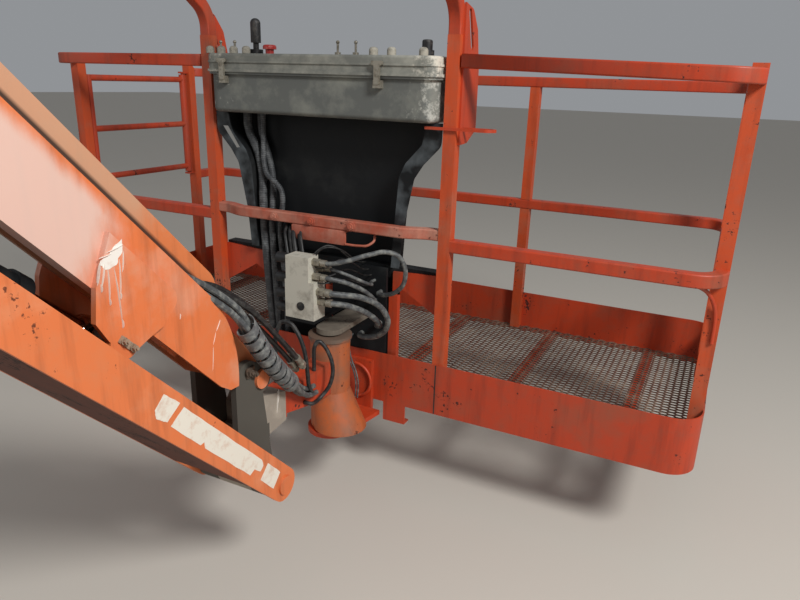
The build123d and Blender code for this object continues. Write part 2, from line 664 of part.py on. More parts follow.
def make_console():
    x = console_half_x
    y0, y1 = console_y
    z0, z1 = console_z
    depth = y1 - y0
    middle = Pos(0, (y0 + y1) / 2)
    seam = z1 - console_lid
    tub = flat_plate(middle * RectangleRounded(2 * x - 24, depth - 24, console_corner), z0, seam)
    tub = fillet(tub.edges().group_by(Axis.Z)[0], 14)
    tub += flat_plate(middle * RectangleRounded(2 * x - 8, depth - 8, console_corner), seam - 7, seam)
    keep("console_box", tub, at_platform)
    lid = flat_plate(middle * RectangleRounded(2 * x, depth, console_corner), seam, seam + 8)
    lid += flat_plate(middle * RectangleRounded(2 * x - 10, depth - 10, console_corner - 5), seam + 8, z1)
    lid = fillet(lid.edges().group_by(Axis.Z)[-1], 8)
    rib = RectangleRounded(2 * x - 3, depth - 3, console_corner)
    rib -= RectangleRounded(2 * x - 30, depth - 30, 30)
    lid += flat_plate(middle * rib, seam + 28, seam + 34)
    keep("console_rim", lid, at_platform)

    bosses = []
    for share in (-0.96, -0.85, -0.73, -0.61, 0.49, 0.63, 0.87):
        boss = upright_round(share * x, y0 + 24, 13, z1, z1 + 22)
        bosses.append(fillet(boss.edges().group_by(Axis.Z)[-1], 10))
    keep("lid_bosses", Compound(children=bosses), at_platform)

    clips = []
    for cx in (-0.8 * x, 0.555 * x):
        strap = outline((cx - 9, seam - 24), (cx + 9, seam - 24), (cx + 9, seam + 26),
                        (cx + 18, seam + 30), (cx + 18, seam + 40), (cx - 18, seam + 40),
                        (cx - 18, seam + 30), (cx - 9, seam + 26))
        clip = front_plate(fillet(strap.vertices(), 3), y0 - 8, y0)
        clip += block(cx - 13, cx + 13, y0 - 5, y0 + 12, seam - 34, seam - 12)
        clips.append(clip)
    keep("lid_clips", Compound(children=clips), at_platform)

    stick_x, stick_y = -0.59 * x, y0 + 64
    stem = upright_round(stick_x, stick_y, 22, z1, z1 + 14)
    stem += upright_round(stick_x, stick_y, 9, z1, z1 + 40)
    knob = upright_round(stick_x, stick_y, 16, z1 + 34, z1 + 106)
    stick = stem + fillet(knob.edges().group_by(Axis.Z)[-1], 15)
    dial_x, dial_y = 0.85 * x, y0 + 66
    dial = upright_round(dial_x, dial_y, 20, z1, z1 + 16) + upright_round(dial_x, dial_y, 15, z1, z1 + 44)
    keep("joysticks", Compound(children=[stick, fillet(dial.edges().group_by(Axis.Z)[-1], 6)]), at_platform)
    levers = []
    for share in (-0.94, -0.8, 0.14, 0.29):
        lx = share * x
        lever = upright_round(lx, y0 + 66, 9, z1, z1 + 8) + upright_round(lx, y0 + 66, 3.5, z1, z1 + 34)
        levers.append(lever + Pos(lx, y0 + 66, z1 + 36) * Sphere(5.5))
    keep("console_levers", Compound(children=levers), at_platform)
    stop_x, stop_y = -0.43 * x, y0 + 46
    stop = upright_round(stop_x, stop_y, 13, z1, z1 + 18)
    stop += upright_round(stop_x, stop_y, 21, z1 + 14, z1 + 27)
    keep("stop_button", fillet(stop.edges().group_by(Axis.Z)[-1], 7), at_platform)


# A flat rod loop round the right console post, under the console
def make_hook_loop():
    ring = Pos(post_x - 3, 0) * (SlotOverall(270, 54) - SlotOverall(254, 38))
    loop = flat_plate(ring, 876, 884) - block(post_x - 140, post_x - 74, -30, 30, 870, 890)
    loop -= block(post_x - 140, post_x + half_tube + arch_wall, 0, 30, 870, 890)
    keep("post_loop", loop, at_platform)


def make_gate():
    x = -rail_half_x
    axis_y = end_post_far - half_tube - gate_axis_in
    free_y = end_post_near + half_tube + gate_latch_gap + gate_bar_r
    z0, z1 = gate_z
    frame = upright_round(x, axis_y, gate_stile_r, z0, z1)
    frame += upright_round(x, free_y, gate_bar_r, z0 + 10, z1 - 10)
    for z in (z0 + 25, (z0 + z1) / 2, z1 - 22):
        frame += front_plate(Pos(x, z) * Circle(gate_bar_r), free_y, axis_y)
    frame -= upright_round(x, axis_y, gate_pin_r + pin_play, z0 - 1, z1 + 1)
    keep("gate", frame, at_platform)
    brackets = []
    post_face = end_post_far - half_tube
    for z, up in ((z0 - 13, 1), (z1 + 5, -1)):
        ear = block(x - 12, x + 12, axis_y - 12, post_face, z, z + 8)
        pin = upright_round(x, axis_y, gate_pin_r, z - 30 * (up < 0), z + 8 + 30 * (up > 0))
        brackets.append(ear + pin)
    keep("gate_hinges", Compound(children=brackets), at_platform)


os.makedirs("parts", exist_ok=True)
make_knuckle()
make_upper_arm()
make_lugs()
make_lower_arm()
make_cylinder()
make_link()
make_rotator()
make_yoke()
make_valve()
make_hoses()
make_floor()
make_toe_boards()
make_rails()
make_posts()
make_arches()
make_mount()
make_stand()
make_console()
make_hook_loop()
make_gate()

places = {
    "front link upper pin": at_link,
    "rotator axis": at_mount * Pos(0, -rotator_back, 0),
    "platform middle at the rail": at_platform,
    "cylinder base pin": at_cylinder,
}
for name, place in places.items():
    print(name, [round(v, 1) for v in place.position])
print("rod eye", [round(v, 1) for v in eye_world])
print("cylinder length", round(cyl_length, 1), "angle", round(cyl_angle, 2))
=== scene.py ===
# %% [markdown]
# # A boom lift's work platform, dressed
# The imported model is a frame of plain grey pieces, each already in its place and on the body that
# it moves with. This script gives them their paint, rust and rubber, and adds the pieces that are
# too fine for the frame. Everything is in metres, +Z up, with the boom's pin at the origin.

# %% Load the frame
import bmesh
import bpy
import math
from mathutils import Matrix, Vector, noise


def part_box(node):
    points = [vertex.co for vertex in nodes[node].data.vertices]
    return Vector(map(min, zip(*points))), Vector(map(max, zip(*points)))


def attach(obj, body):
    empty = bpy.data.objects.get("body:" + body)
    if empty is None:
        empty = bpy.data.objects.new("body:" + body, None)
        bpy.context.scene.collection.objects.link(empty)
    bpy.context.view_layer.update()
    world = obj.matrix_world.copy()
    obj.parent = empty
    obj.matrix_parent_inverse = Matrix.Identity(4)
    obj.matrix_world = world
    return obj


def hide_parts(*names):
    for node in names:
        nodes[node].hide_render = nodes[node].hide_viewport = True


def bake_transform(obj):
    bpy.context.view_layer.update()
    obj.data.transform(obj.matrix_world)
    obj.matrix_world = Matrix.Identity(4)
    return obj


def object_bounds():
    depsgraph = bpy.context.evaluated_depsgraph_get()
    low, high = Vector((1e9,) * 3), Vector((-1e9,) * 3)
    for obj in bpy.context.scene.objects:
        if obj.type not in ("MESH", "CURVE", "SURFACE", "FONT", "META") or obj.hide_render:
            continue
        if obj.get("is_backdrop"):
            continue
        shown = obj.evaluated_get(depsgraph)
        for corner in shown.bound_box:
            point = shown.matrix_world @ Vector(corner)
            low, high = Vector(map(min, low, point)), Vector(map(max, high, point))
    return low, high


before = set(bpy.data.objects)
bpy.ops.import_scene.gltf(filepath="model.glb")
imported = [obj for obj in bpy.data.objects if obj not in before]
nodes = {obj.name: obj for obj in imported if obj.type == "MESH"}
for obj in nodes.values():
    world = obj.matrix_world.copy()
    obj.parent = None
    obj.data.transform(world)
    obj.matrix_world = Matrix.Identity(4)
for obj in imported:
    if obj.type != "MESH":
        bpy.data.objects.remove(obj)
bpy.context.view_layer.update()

# %% [markdown]
# ## The camera
# The picture was taken from the right of the jib, a little above the console. The rails' lines
# meet at points that give the lens and the direction, so the camera is set once, with its three
# axes written out. A lens of 29.6 mm on a 36 mm sensor gives 657.5 pixels across 800.

# %% Set the camera
camera_right = Vector((0.8952, 0.4448, 0.0289))
camera_down = Vector((0.1650, -0.2703, -0.9485))
camera_place = Vector((1.017, 0.281, -0.462))
ahead = camera_right.cross(-camera_down).normalized()
turn = Matrix((camera_right.normalized(), ahead.cross(camera_right).normalized(), ahead)).transposed()
sensor_width, lens = 36.0, 29.59
camera_data = bpy.data.cameras.new("camera")
camera_data.sensor_width = sensor_width
camera_data.lens = lens
camera_data.clip_start = 0.02
camera_data.clip_end = 200.0
camera = bpy.data.objects.new("camera", camera_data)
camera.matrix_world = Matrix.Translation(camera_place) @ turn.to_4x4()
bpy.context.scene.collection.objects.link(camera)
bpy.context.scene.camera = camera
print("camera looks along", [round(v, 3) for v in -ahead])

# %% [markdown]
# ## Colours and nodes
# Paint is matched as a web colour, which is sRGB, while the shader wants linear numbers.
# One function turns one into the other. A second adds a node, sets it and wires it, so that a
# material reads as a short list of steps.

# %% Two helpers for materials
def hex_colour(text):
    channels = [int(text[i:i + 2], 16) / 255 for i in (1, 3, 5)]
    linear = [c / 12.92 if c <= 0.04045 else ((c + 0.055) / 1.055) ** 2.4 for c in channels]
    return (*linear, 1.0)


def add_node(material, kind, links=(), **settings):
    """Adds one node. A setting named in_3 or in_Scale goes to that socket, the rest to the node."""
    node = material.node_tree.nodes.new(kind)
    for key, value in settings.items():
        if key.startswith("in_"):
            name = key[3:].replace("_", " ")
            node.inputs[int(name) if name.isdigit() else name].default_value = value
        else:
            setattr(node, key, value)
    for source, target in links:
        material.node_tree.links.new(source, node.inputs[target])
    return node


print("white as linear", hex_colour("#ffffff"))

# %% [markdown]
# ## Starting a material, and laying one colour over another
# Every finish here starts from a shader whose plain numbers are set on its own sockets. Dirt,
# chalk and wear all come after the paint in life, so they come after it in the material too: a
# mask says where, and a mix lays the new colour over whatever the shader had. A ramp makes the
# mask: it turns the part of a noise, or of a length, between two values into 0 to 1.

# %% Start a material, and cover its colour
def new_material(name, **shader_values):
    material = bpy.data.materials.new(name)
    material.use_nodes = True
    shader = material.node_tree.nodes["Principled BSDF"]
    for key, value in shader_values.items():
        shader.inputs[key.replace("_", " ")].default_value = value
    return material, shader


def ramp(material, source, low, high, most=1.0, **settings):
    """A node that rises from 0 to most while the source goes from low to high."""
    return add_node(material, "ShaderNodeMapRange", [(source, "Value")],
                    in_From_Min=low, in_From_Max=high, in_To_Max=most, **settings)


def cover_with(material, mask, colour):
    """Lays a colour over the shader's present one, where the mask is 1."""
    base = material.node_tree.nodes["Principled BSDF"].inputs["Base Color"]
    below = base.links[0].from_socket
    mix = add_node(material, "ShaderNodeMix", [(mask, 0), (below, 6)], data_type="RGBA",
                   in_7=hex_colour(colour))
    material.node_tree.links.new(mix.outputs[2], base)


print("materials so far", len(bpy.data.materials))

# %% [markdown]
# ## Old enamel
# Boom lifts are sprayed with a two-part enamel over primer. Years outdoors fade it in blotches a
# hand wide, dust sits on it in a thin film, rain draws darker streaks down it, and rust the colour
# of cocoa comes through in chips a few millimetres wide. Four noise patterns at those real sizes
# mix the colours, and the chips also make the surface rough. All patterns read Object
# coordinates, in metres, so they stay on the steel when the piece moves. Enamel isn't a metal, so
# the eye gets a broad soft sheen where it is whole and none where it has chalked or chipped.

# %% The enamel recipe
def weathered_enamel(name, paint, faded, rust, fade_from, chips_from, dust, dust_most, roughness):
    material, shader = new_material(name, Roughness=roughness)
    place = add_node(material, "ShaderNodeTexCoord").outputs["Object"]
    # blotches of about 140 mm, where the paint has faded
    blotch = add_node(material, "ShaderNodeTexNoise", [(place, "Vector")],
                      in_Scale=7.0, in_Detail=6.0, in_Roughness=0.6)
    fade = ramp(material, blotch.outputs[0], fade_from, fade_from + 0.26)
    base = add_node(material, "ShaderNodeMix", [(fade.outputs[0], 0)], data_type="RGBA",
                    in_6=hex_colour(paint), in_7=hex_colour(faded))
    wire = material.node_tree.links.new
    wire(base.outputs[2], shader.inputs["Base Color"])
    # streaks 30 mm wide and ten times as long, drawn down by rain
    tall = add_node(material, "ShaderNodeMapping", [(place, "Vector")], in_Scale=(1.0, 1.0, 0.1))
    rain = add_node(material, "ShaderNodeTexNoise", [(tall.outputs[0], "Vector")],
                    in_Scale=32.0, in_Detail=5.0, in_Roughness=0.6)
    streak = ramp(material, rain.outputs[0], 0.5, 0.75, 0.4)
    cover_with(material, streak.outputs[0], rust)
    # a film of dust, with a grain of 40 mm
    grain = add_node(material, "ShaderNodeTexNoise", [(place, "Vector")],
                     in_Scale=26.0, in_Detail=8.0, in_Roughness=0.7)
    film = ramp(material, grain.outputs[0], 0.48, 0.8, dust_most)
    cover_with(material, film.outputs[0], dust)
    # chips of a few millimetres, gathered in clusters of 90 mm
    speck = add_node(material, "ShaderNodeTexNoise", [(place, "Vector")],
                     in_Scale=90.0, in_Detail=5.0, in_Roughness=0.65)
    cluster = add_node(material, "ShaderNodeTexNoise", [(place, "Vector")],
                       in_Scale=11.0, in_Detail=3.0, in_Roughness=0.5)
    worn = add_node(material, "ShaderNodeMath", [(speck.outputs[0], 0), (cluster.outputs[0], 1)],
                    operation="ADD")
    chip = ramp(material, worn.outputs[0], chips_from, chips_from + 0.04)
    cover_with(material, chip.outputs[0], rust)
    rough = add_node(material, "ShaderNodeMapRange", [(chip.outputs[0], "Value")],
                     in_To_Min=roughness, in_To_Max=0.9)
    wire(rough.outputs[0], shader.inputs["Roughness"])
    # a chip is a pit about 0.8 mm deep, drawn deeper than the paint is thick so that it shows
    height = add_node(material, "ShaderNodeMath", [(grain.outputs[0], 0), (chip.outputs[0], 1)],
                      operation="SUBTRACT")
    bump = add_node(material, "ShaderNodeBump", [(height.outputs[0], "Height")],
                    in_Strength=0.25, in_Distance=0.0008)
    wire(bump.outputs[0], shader.inputs["Normal"])
    return material


# name, paint, faded, rust, where fading and chips start, dust and how much of it, roughness.
# The jib was sprayed a paler orange than the platform, and looks chalky
jib_enamel = weathered_enamel("faded_orange_enamel", "#d6713f", "#d8967a", "#7a3f22", 0.52, 1.33,
                              "#bd8462", 0.35, 0.5)
# The rails keep a deep red-orange, with brown chips where hands and hooks knock them
rail_enamel = weathered_enamel("red_orange_enamel", "#b73c1a", "#9a4c34", "#46211a", 0.5, 1.235,
                               "#7b5140", 0.35, 0.5)
# The posts are given a brighter red than the rails, and are duller in gloss
post_enamel = weathered_enamel("dusty_red_enamel", "#c24a1e", "#a9664b", "#4f261b", 0.54, 1.215,
                               "#8a6452", 0.35, 0.55)
# The bowed rail stands out into the sun, and has gone pink and quite matt
bow_enamel = weathered_enamel("sunburnt_red_enamel", "#ac5038", "#b98672", "#552b20", 0.42, 1.2,
                              "#9b7868", 0.45, 0.65)
print("enamels", [m.name for m in (jib_enamel, rail_enamel, post_enamel, bow_enamel)])

# %% [markdown]
# ## Coordinates that lie along an arm
# Both arms slope at 46 degrees, and their chalk, dirt and edges follow them. A Mapping node turns
# the coordinates, so that a pattern can be drawn by its length and its height on the arm. The
# other patterns are measured from the plane of the boom side rail and from the platform's floor.

# %% Along the arm
MM = 0.001
arm_slope = math.radians(46.0)
arm_root = Vector((0.0, 0.190, 0.150))
lower_root = Vector((0.0, 0.190, -0.135))
rail_y, floor_z = 2.0862, -1.4664


def along_arm(material, origin):
    """The turned coordinates, and as sockets X, the length along and the height over the pins."""
    place = add_node(material, "ShaderNodeTexCoord").outputs["Object"]
    turned = add_node(material, "ShaderNodeMapping", [(place, "Vector")], vector_type="TEXTURE",
                      in_Location=origin, in_Rotation=(-arm_slope, 0.0, 0.0))
    axes = add_node(material, "ShaderNodeSeparateXYZ", [(turned.outputs[0], 0)])
    return turned.outputs[0], axes.outputs


print("arm root at", [round(v, 3) for v in arm_root])

# %% [markdown]
# ## Chalk on the shroud
# Sun turns the outer skin of enamel to chalk, a pink-white powder, wherever rain runs over it and
# nothing shades it. On the shroud that is nearly the whole plate, out to 1.24 m along the arm, and
# the upper edge keeps its orange. A noise frays the border, stretched so that it hangs in streaks.
# Between the shroud and the arm's box is an open slot, where the box's side is darkened: a painted shade
# for the shadow in the gap.

# %% Chalked enamel
ragged_along, ragged_up = 0.12, 0.03


def chalk_plate(material, chalk, chalk_end, top, amount):
    """Chalk from the arm's root out to chalk_end and up to top, both in metres."""
    along, height = along_arm(material, arm_root)[1][1:]
    place = add_node(material, "ShaderNodeTexCoord").outputs["Object"]
    hanging = add_node(material, "ShaderNodeMapping", [(place, "Vector")], in_Scale=(1.0, 1.0, 0.3))
    fray = add_node(material, "ShaderNodeTexNoise", [(hanging.outputs[0], "Vector")],
                    in_Scale=22.0, in_Detail=8.0, in_Roughness=0.68)
    far = add_node(material, "ShaderNodeMath", [(fray.outputs[0], 0), (along, 2)],
                   operation="MULTIPLY_ADD", in_1=ragged_along)
    high = add_node(material, "ShaderNodeMath", [(fray.outputs[0], 0), (height, 2)],
                    operation="MULTIPLY_ADD", in_1=ragged_up)
    by_length = ramp(material, far.outputs[0], chalk_end + ragged_along, chalk_end + 0.01,
                     interpolation_type="SMOOTHSTEP")
    by_height = ramp(material, high.outputs[0], top + ragged_up, top, interpolation_type="SMOOTHSTEP")
    mask = add_node(material, "ShaderNodeMath", [(by_length.outputs[0], 0), (by_height.outputs[0], 1)],
                    operation="MULTIPLY")
    thin = add_node(material, "ShaderNodeMath", [(mask.outputs[0], 0)], operation="MULTIPLY", in_1=amount)
    cover_with(material, thin.outputs[0], chalk)


# The shroud is chalked nearly white, the box only to a tan
shroud_enamel = weathered_enamel("chalked_orange_enamel", "#dc7440", "#dd9777", "#7a3f22", 0.5, 1.35,
                                 "#c48e6d", 0.3, 0.5)
chalk_plate(shroud_enamel, "#dcbcae", 1.23, 0.046, 0.88)
box_enamel = weathered_enamel("tanned_orange_enamel", "#d37643", "#c4936f", "#7a3f22", 0.5, 1.33,
                              "#bb9174", 0.4, 0.55)
chalk_plate(box_enamel, "#c29a7c", 1.3, 0.2, 0.75)
# painted shade on the box's side, in the slot behind the shroud: dark brown for the shadow in the gap
box_side, shade_top, shade_gone, slot_ends = 0.045, 0.079, 0.086, 1.54
across, along, height = along_arm(box_enamel, arm_root)[1]
right_side = add_node(box_enamel, "ShaderNodeMath", [(across, 0)], operation="GREATER_THAN", in_1=box_side)
below_top = ramp(box_enamel, height, shade_gone, shade_top, 0.93)
in_slot = ramp(box_enamel, along, slot_ends + 0.06, slot_ends)
side_painted_shade = add_node(box_enamel, "ShaderNodeMath", [(right_side.outputs[0], 0), (below_top.outputs[0], 1)],
                      operation="MULTIPLY")
slot_painted_shade = add_node(box_enamel, "ShaderNodeMath", [(side_painted_shade.outputs[0], 0), (in_slot.outputs[0], 1)],
                      operation="MULTIPLY")
# the dark brown laid here is painted shade
cover_with(box_enamel, slot_painted_shade.outputs[0], "#2b1b14")
print("chalk ends 1.24 m along the arm")

# %% [markdown]
# ## Dirty edges on the lower arm
# Stones and water sit along the edges of the lower arm's plates, so a dark line of rust grows
# there. The web under it is given a brown-black enamel, a painted shade for the shadow it lies in.

# %% Lower arm's finishes
lower_enamel = weathered_enamel("scuffed_orange_enamel", "#da7440", "#dd9168", "#6e3820", 0.56, 1.29,
                                "#bf8560", 0.3, 0.5)
line, (across, along, height) = along_arm(lower_enamel, lower_root)
off_middle = add_node(lower_enamel, "ShaderNodeMath", [(height, 0)], operation="ABSOLUTE")
nibble = add_node(lower_enamel, "ShaderNodeTexNoise", [(line, "Vector")], in_Scale=60.0, in_Detail=8.0)
edge = add_node(lower_enamel, "ShaderNodeMath", [(nibble.outputs[0], 0), (off_middle.outputs[0], 2)],
                operation="MULTIPLY_ADD", in_1=0.011)
rim = ramp(lower_enamel, edge.outputs[0], 0.0535, 0.0555, 0.85)
cover_with(lower_enamel, rim.outputs[0], "#43241a")
# the web's brown-black is painted shade, under the enamel's own dust and chips
shaded_web_enamel = weathered_enamel("painted_shade_web_enamel", "#5f2f1e", "#54342a", "#2c1811", 0.5, 1.12,
                              "#3f2c24", 0.5, 0.8)
print("lower arm's edges rust in their last 3 mm")

# %% [markdown]
# ## The other finishes
# Each is a shader with one or two noises: a slow one for dust that lies in patches, and a fast
# one for the skin of the casting, the grain of moulded plastic or the mill scale on steel.

# %% A simpler recipe for plain finishes
def dusty_finish(name, colour, dust, scale, amount, roughness, metallic=0.0, bump_mm=0.3, gloss=0.5):
    material, shader = new_material(name, Roughness=roughness, Metallic=metallic, Specular_IOR_Level=gloss)
    place = add_node(material, "ShaderNodeTexCoord").outputs["Object"]
    patch = add_node(material, "ShaderNodeTexNoise", [(place, "Vector")],
                     in_Scale=scale, in_Detail=7.0, in_Roughness=0.65)
    lie = ramp(material, patch.outputs[0], 0.6 - 0.25 * amount, 0.85 - 0.25 * amount)
    tint = add_node(material, "ShaderNodeMix", [(lie.outputs[0], 0)], data_type="RGBA",
                    in_6=hex_colour(colour), in_7=hex_colour(dust))
    rough = add_node(material, "ShaderNodeMapRange", [(lie.outputs[0], "Value")],
                     in_To_Min=roughness, in_To_Max=min(1.0, roughness + 0.35))
    skin = add_node(material, "ShaderNodeTexNoise", [(place, "Vector")],
                    in_Scale=scale * 30, in_Detail=3.0, in_Roughness=0.6)
    bump = add_node(material, "ShaderNodeBump", [(skin.outputs[0], "Height")],
                    in_Strength=0.3, in_Distance=bump_mm * MM)
    wire = material.node_tree.links.new
    wire(tint.outputs[2], shader.inputs["Base Color"])
    wire(rough.outputs[0], shader.inputs["Roughness"])
    wire(bump.outputs[0], shader.inputs["Normal"])
    return material


# name, colour, dust, scale of the patches, amount of dust, roughness, metallic, bump in mm
# Black enamel on the cylinder and the mount, nearly matt, so the eye gets almost no reflection
black_enamel = dusty_finish("black_enamel", "#101214", "#2c2d2c", 6.0, 0.25, 0.6, gloss=0.3)
# Pins of bare steel, half rusted: brown, with a dull glint where they turn
pin_steel = dusty_finish("rusty_pin_steel", "#6a5c50", "#7f4c2d", 40.0, 0.5, 0.6, 0.5)
# Zinc plating on fittings goes from bright to a soft yellow grey
zinc_steel = dusty_finish("dulled_zinc_plating", "#a29c8e", "#6b6456", 50.0, 0.5, 0.45, 0.7)
keeper_steel = dusty_finish("dusty_keeper_steel", "#a8937d", "#6a5748", 90.0, 0.5, 0.7, 0.3)
# The valve's block is milled aluminium under a pale oxide, so it reads as light grey and matt
valve_aluminium = dusty_finish("dull_aluminium", "#c6c2b4", "#8f897c", 25.0, 0.45, 0.55, 0.2)
# The rod is ground hard chrome, kept clean by its seal, and mirrors what is round it
chrome_rod = dusty_finish("hard_chrome", "#c8c8c8", "#a59a8c", 8.0, 0.1, 0.12, 1.0, 0.02)
# Moulded nylon has a low gloss, and dust dries to pale grey on it and on rubber
black_plastic = dusty_finish("moulded_black_nylon", "#1b1b1c", "#55504a", 60.0, 0.3, 0.5)
boss_plastic = dusty_finish("sunned_grey_rubber", "#a19c8e", "#6a6860", 60.0, 0.5, 0.7)
# Hose covers are smooth synthetic rubber: a narrow line of light along each, dark beside it
dark_rubber = dusty_finish("dark_hose_rubber", "#1d1d1d", "#45433f", 60.0, 0.5, 0.45)
grey_rubber = dusty_finish("dusty_hose_rubber", "#47494a", "#84857f", 55.0, 0.6, 0.5)
wrap_plastic = dusty_finish("dusty_wrap_nylon", "#5b5d5e", "#93948f", 60.0, 0.6, 0.5)
red_plastic = dusty_finish("faded_red_nylon", "#b0302b", "#c98f86", 80.0, 0.3, 0.45)
# The floor's steel has lost its paint to boots, and is brown with rust and mud
mesh_steel = dusty_finish("trodden_mesh_steel", "#6a4d40", "#8f7a69", 14.0, 0.7, 0.7, 0.2)
print("finishes made", len(bpy.data.materials))

# %% [markdown]
# ## Corrugated conduit
# The console's wires run down in split conduit, a thin black tube with a ring every 6 mm that
# lets it bend. The rings are too many to model, so a wave along Z makes them in the bump. A wave
# texture turns once in 0.314 of its scale, which gives the scale for a 6 mm ring. The same wave
# darkens the hollows between the rings, a painted shade.

# %% Conduit
conduit_plastic = dusty_finish("corrugated_conduit_nylon", "#3c3e40", "#787a7a", 40.0, 0.5, 0.5)
ring_pitch = 6 * MM
place = add_node(conduit_plastic, "ShaderNodeTexCoord").outputs["Object"]
rings = add_node(conduit_plastic, "ShaderNodeTexWave", [(place, "Vector")], bands_direction="Z",
                 in_Scale=0.314 / ring_pitch)
ridge = add_node(conduit_plastic, "ShaderNodeBump", [(rings.outputs["Fac"], "Height")],
                 in_Strength=0.6, in_Distance=1.5 * MM)
conduit_plastic.node_tree.links.new(ridge.outputs[0],
                                    conduit_plastic.node_tree.nodes["Principled BSDF"].inputs["Normal"])
# the hollows between the rings are darkened, a painted shade
groove_painted_shade = ramp(conduit_plastic, rings.outputs["Fac"], 0.45, 0.1, 0.6)
cover_with(conduit_plastic, groove_painted_shade.outputs[0], "#202122")
print("conduit rings every", ring_pitch, "m")

# %% [markdown]
# ## Two finishes on one casting
# The link's block is a pale dusty casting, quite matt, and the two cheeks beside it are darker
# plate. They are one piece, so the distance from its middle plane says which is which. The
# rotator's top and the yoke over it are thick with dust that the oil has held.

# %% Link, rotator and yoke
link_steel = dusty_finish("dusty_cast_steel", "#968c7f", "#b0a596", 18.0, 0.5, 0.8, 0.05)
place = add_node(link_steel, "ShaderNodeTexCoord").outputs["Object"]
side = add_node(link_steel, "ShaderNodeSeparateXYZ", [(place, 0)])
reach = add_node(link_steel, "ShaderNodeMath", [(side.outputs[0], 0)], operation="ABSOLUTE")
cheek = ramp(link_steel, reach.outputs[0], 0.0525, 0.0535, 0.92)
cover_with(link_steel, cheek.outputs[0], "#45423b")
rotator_enamel = weathered_enamel("oily_orange_enamel", "#b85a28", "#8e5c42", "#4b2618", 0.44, 1.23,
                                  "#755d4b", 0.6, 0.55)
yoke_enamel = weathered_enamel("dust_caked_enamel", "#6f665a", "#5c5349", "#3d3128", 0.5, 1.2,
                               "#857a6b", 0.5, 0.85)
rotator_top = floor_z + 0.262
place = add_node(rotator_enamel, "ShaderNodeTexCoord").outputs["Object"]
rise = add_node(rotator_enamel, "ShaderNodeSeparateXYZ", [(place, 0)])
caked = add_node(rotator_enamel, "ShaderNodeTexNoise", [(place, "Vector")], in_Scale=30.0, in_Detail=6.0)
level = add_node(rotator_enamel, "ShaderNodeMath", [(caked.outputs[0], 0), (rise.outputs[2], 2)],
                 operation="MULTIPLY_ADD", in_1=0.05)
dust_mask = ramp(rotator_enamel, level.outputs[0], rotator_top, rotator_top + 0.02, 0.9)
cover_with(rotator_enamel, dust_mask.outputs[0], "#5f564b")
print("rotator's dust starts at", round(rotator_top - 0.02, 3))

# %% [markdown]
# ## The console's two plastics
# The tub and its lid are rotomoulded polyethylene, which has a waxy, nearly matt skin. The lid has
# bleached, and both are scuffed white at the ends, where the machine has been pushed against
# things. The scuffs are a noise that is let through only near the ends.

# %% Console
console_low, console_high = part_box("console_box")


def scuffed(material, amount, colour):
    place = add_node(material, "ShaderNodeTexCoord").outputs["Object"]
    axes = add_node(material, "ShaderNodeSeparateXYZ", [(place, 0)]).outputs
    right_end = ramp(material, axes[0], console_high.x - 0.14, console_high.x, amount)
    left_end = ramp(material, axes[0], console_low.x + 0.16, console_low.x, amount * 0.8)
    ends = add_node(material, "ShaderNodeMath", [(right_end.outputs[0], 0), (left_end.outputs[0], 1)],
                    operation="ADD")
    rub = add_node(material, "ShaderNodeTexNoise", [(place, "Vector")], in_Scale=34.0, in_Detail=9.0,
                   in_Roughness=0.75)
    sum_of = add_node(material, "ShaderNodeMath", [(ends.outputs[0], 0), (rub.outputs[0], 1)],
                      operation="ADD")
    mask = ramp(material, sum_of.outputs[0], 0.66, 0.78, 0.85)
    cover_with(material, mask.outputs[0], colour)


console_plastic = dusty_finish("grey_polyethylene", "#5f615d", "#83847b", 10.0, 0.55, 0.6)
lid_plastic = dusty_finish("sunned_polyethylene", "#74756e", "#9c9b90", 14.0, 0.65, 0.65)
scuffed(console_plastic, 0.2, "#b9b8ae")
scuffed(lid_plastic, 0.24, "#d3cdbd")
print("console from", round(console_low.x, 3), "to", round(console_high.x, 3))

# %% [markdown]
# ## The stand's rim
# The console's stand is a dished black sheet. Feet and hoses rub its front rim, and the grey laid
# over the rim is partly that wear and dust and partly a painted highlight along its edge. The rim is
# the foremost 5 mm of the sheet, so the distance along Y finds it.

# %% Stand
stand_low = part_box("console_stand")[0]
black_stand_enamel_wear_and_highlight = dusty_finish("black_enamel_rim_wear_and_highlight", "#101214", "#2c2d2c", 6.0, 0.25, 0.6, gloss=0.3)
place = add_node(black_stand_enamel_wear_and_highlight, "ShaderNodeTexCoord").outputs["Object"]
axes = add_node(black_stand_enamel_wear_and_highlight, "ShaderNodeSeparateXYZ", [(place, 0)]).outputs
front = ramp(black_stand_enamel_wear_and_highlight, axes[1], stand_low.y + 5 * MM, stand_low.y + 4 * MM, 1.0)
rub = add_node(black_stand_enamel_wear_and_highlight, "ShaderNodeTexNoise", [(place, "Vector")], in_Scale=14.0, in_Detail=7.0)
let_in = ramp(black_stand_enamel_wear_and_highlight, rub.outputs[0], 0.4, 0.66, 0.85)
mask = add_node(black_stand_enamel_wear_and_highlight, "ShaderNodeMath", [(front.outputs[0], 0), (let_in.outputs[0], 1)],
                operation="MULTIPLY")
# the grey over the rim is partly wear and partly a painted highlight on the edge
cover_with(black_stand_enamel_wear_and_highlight, mask.outputs[0], "#5a6063")
print("rim from", round(stand_low.y, 4), "on")
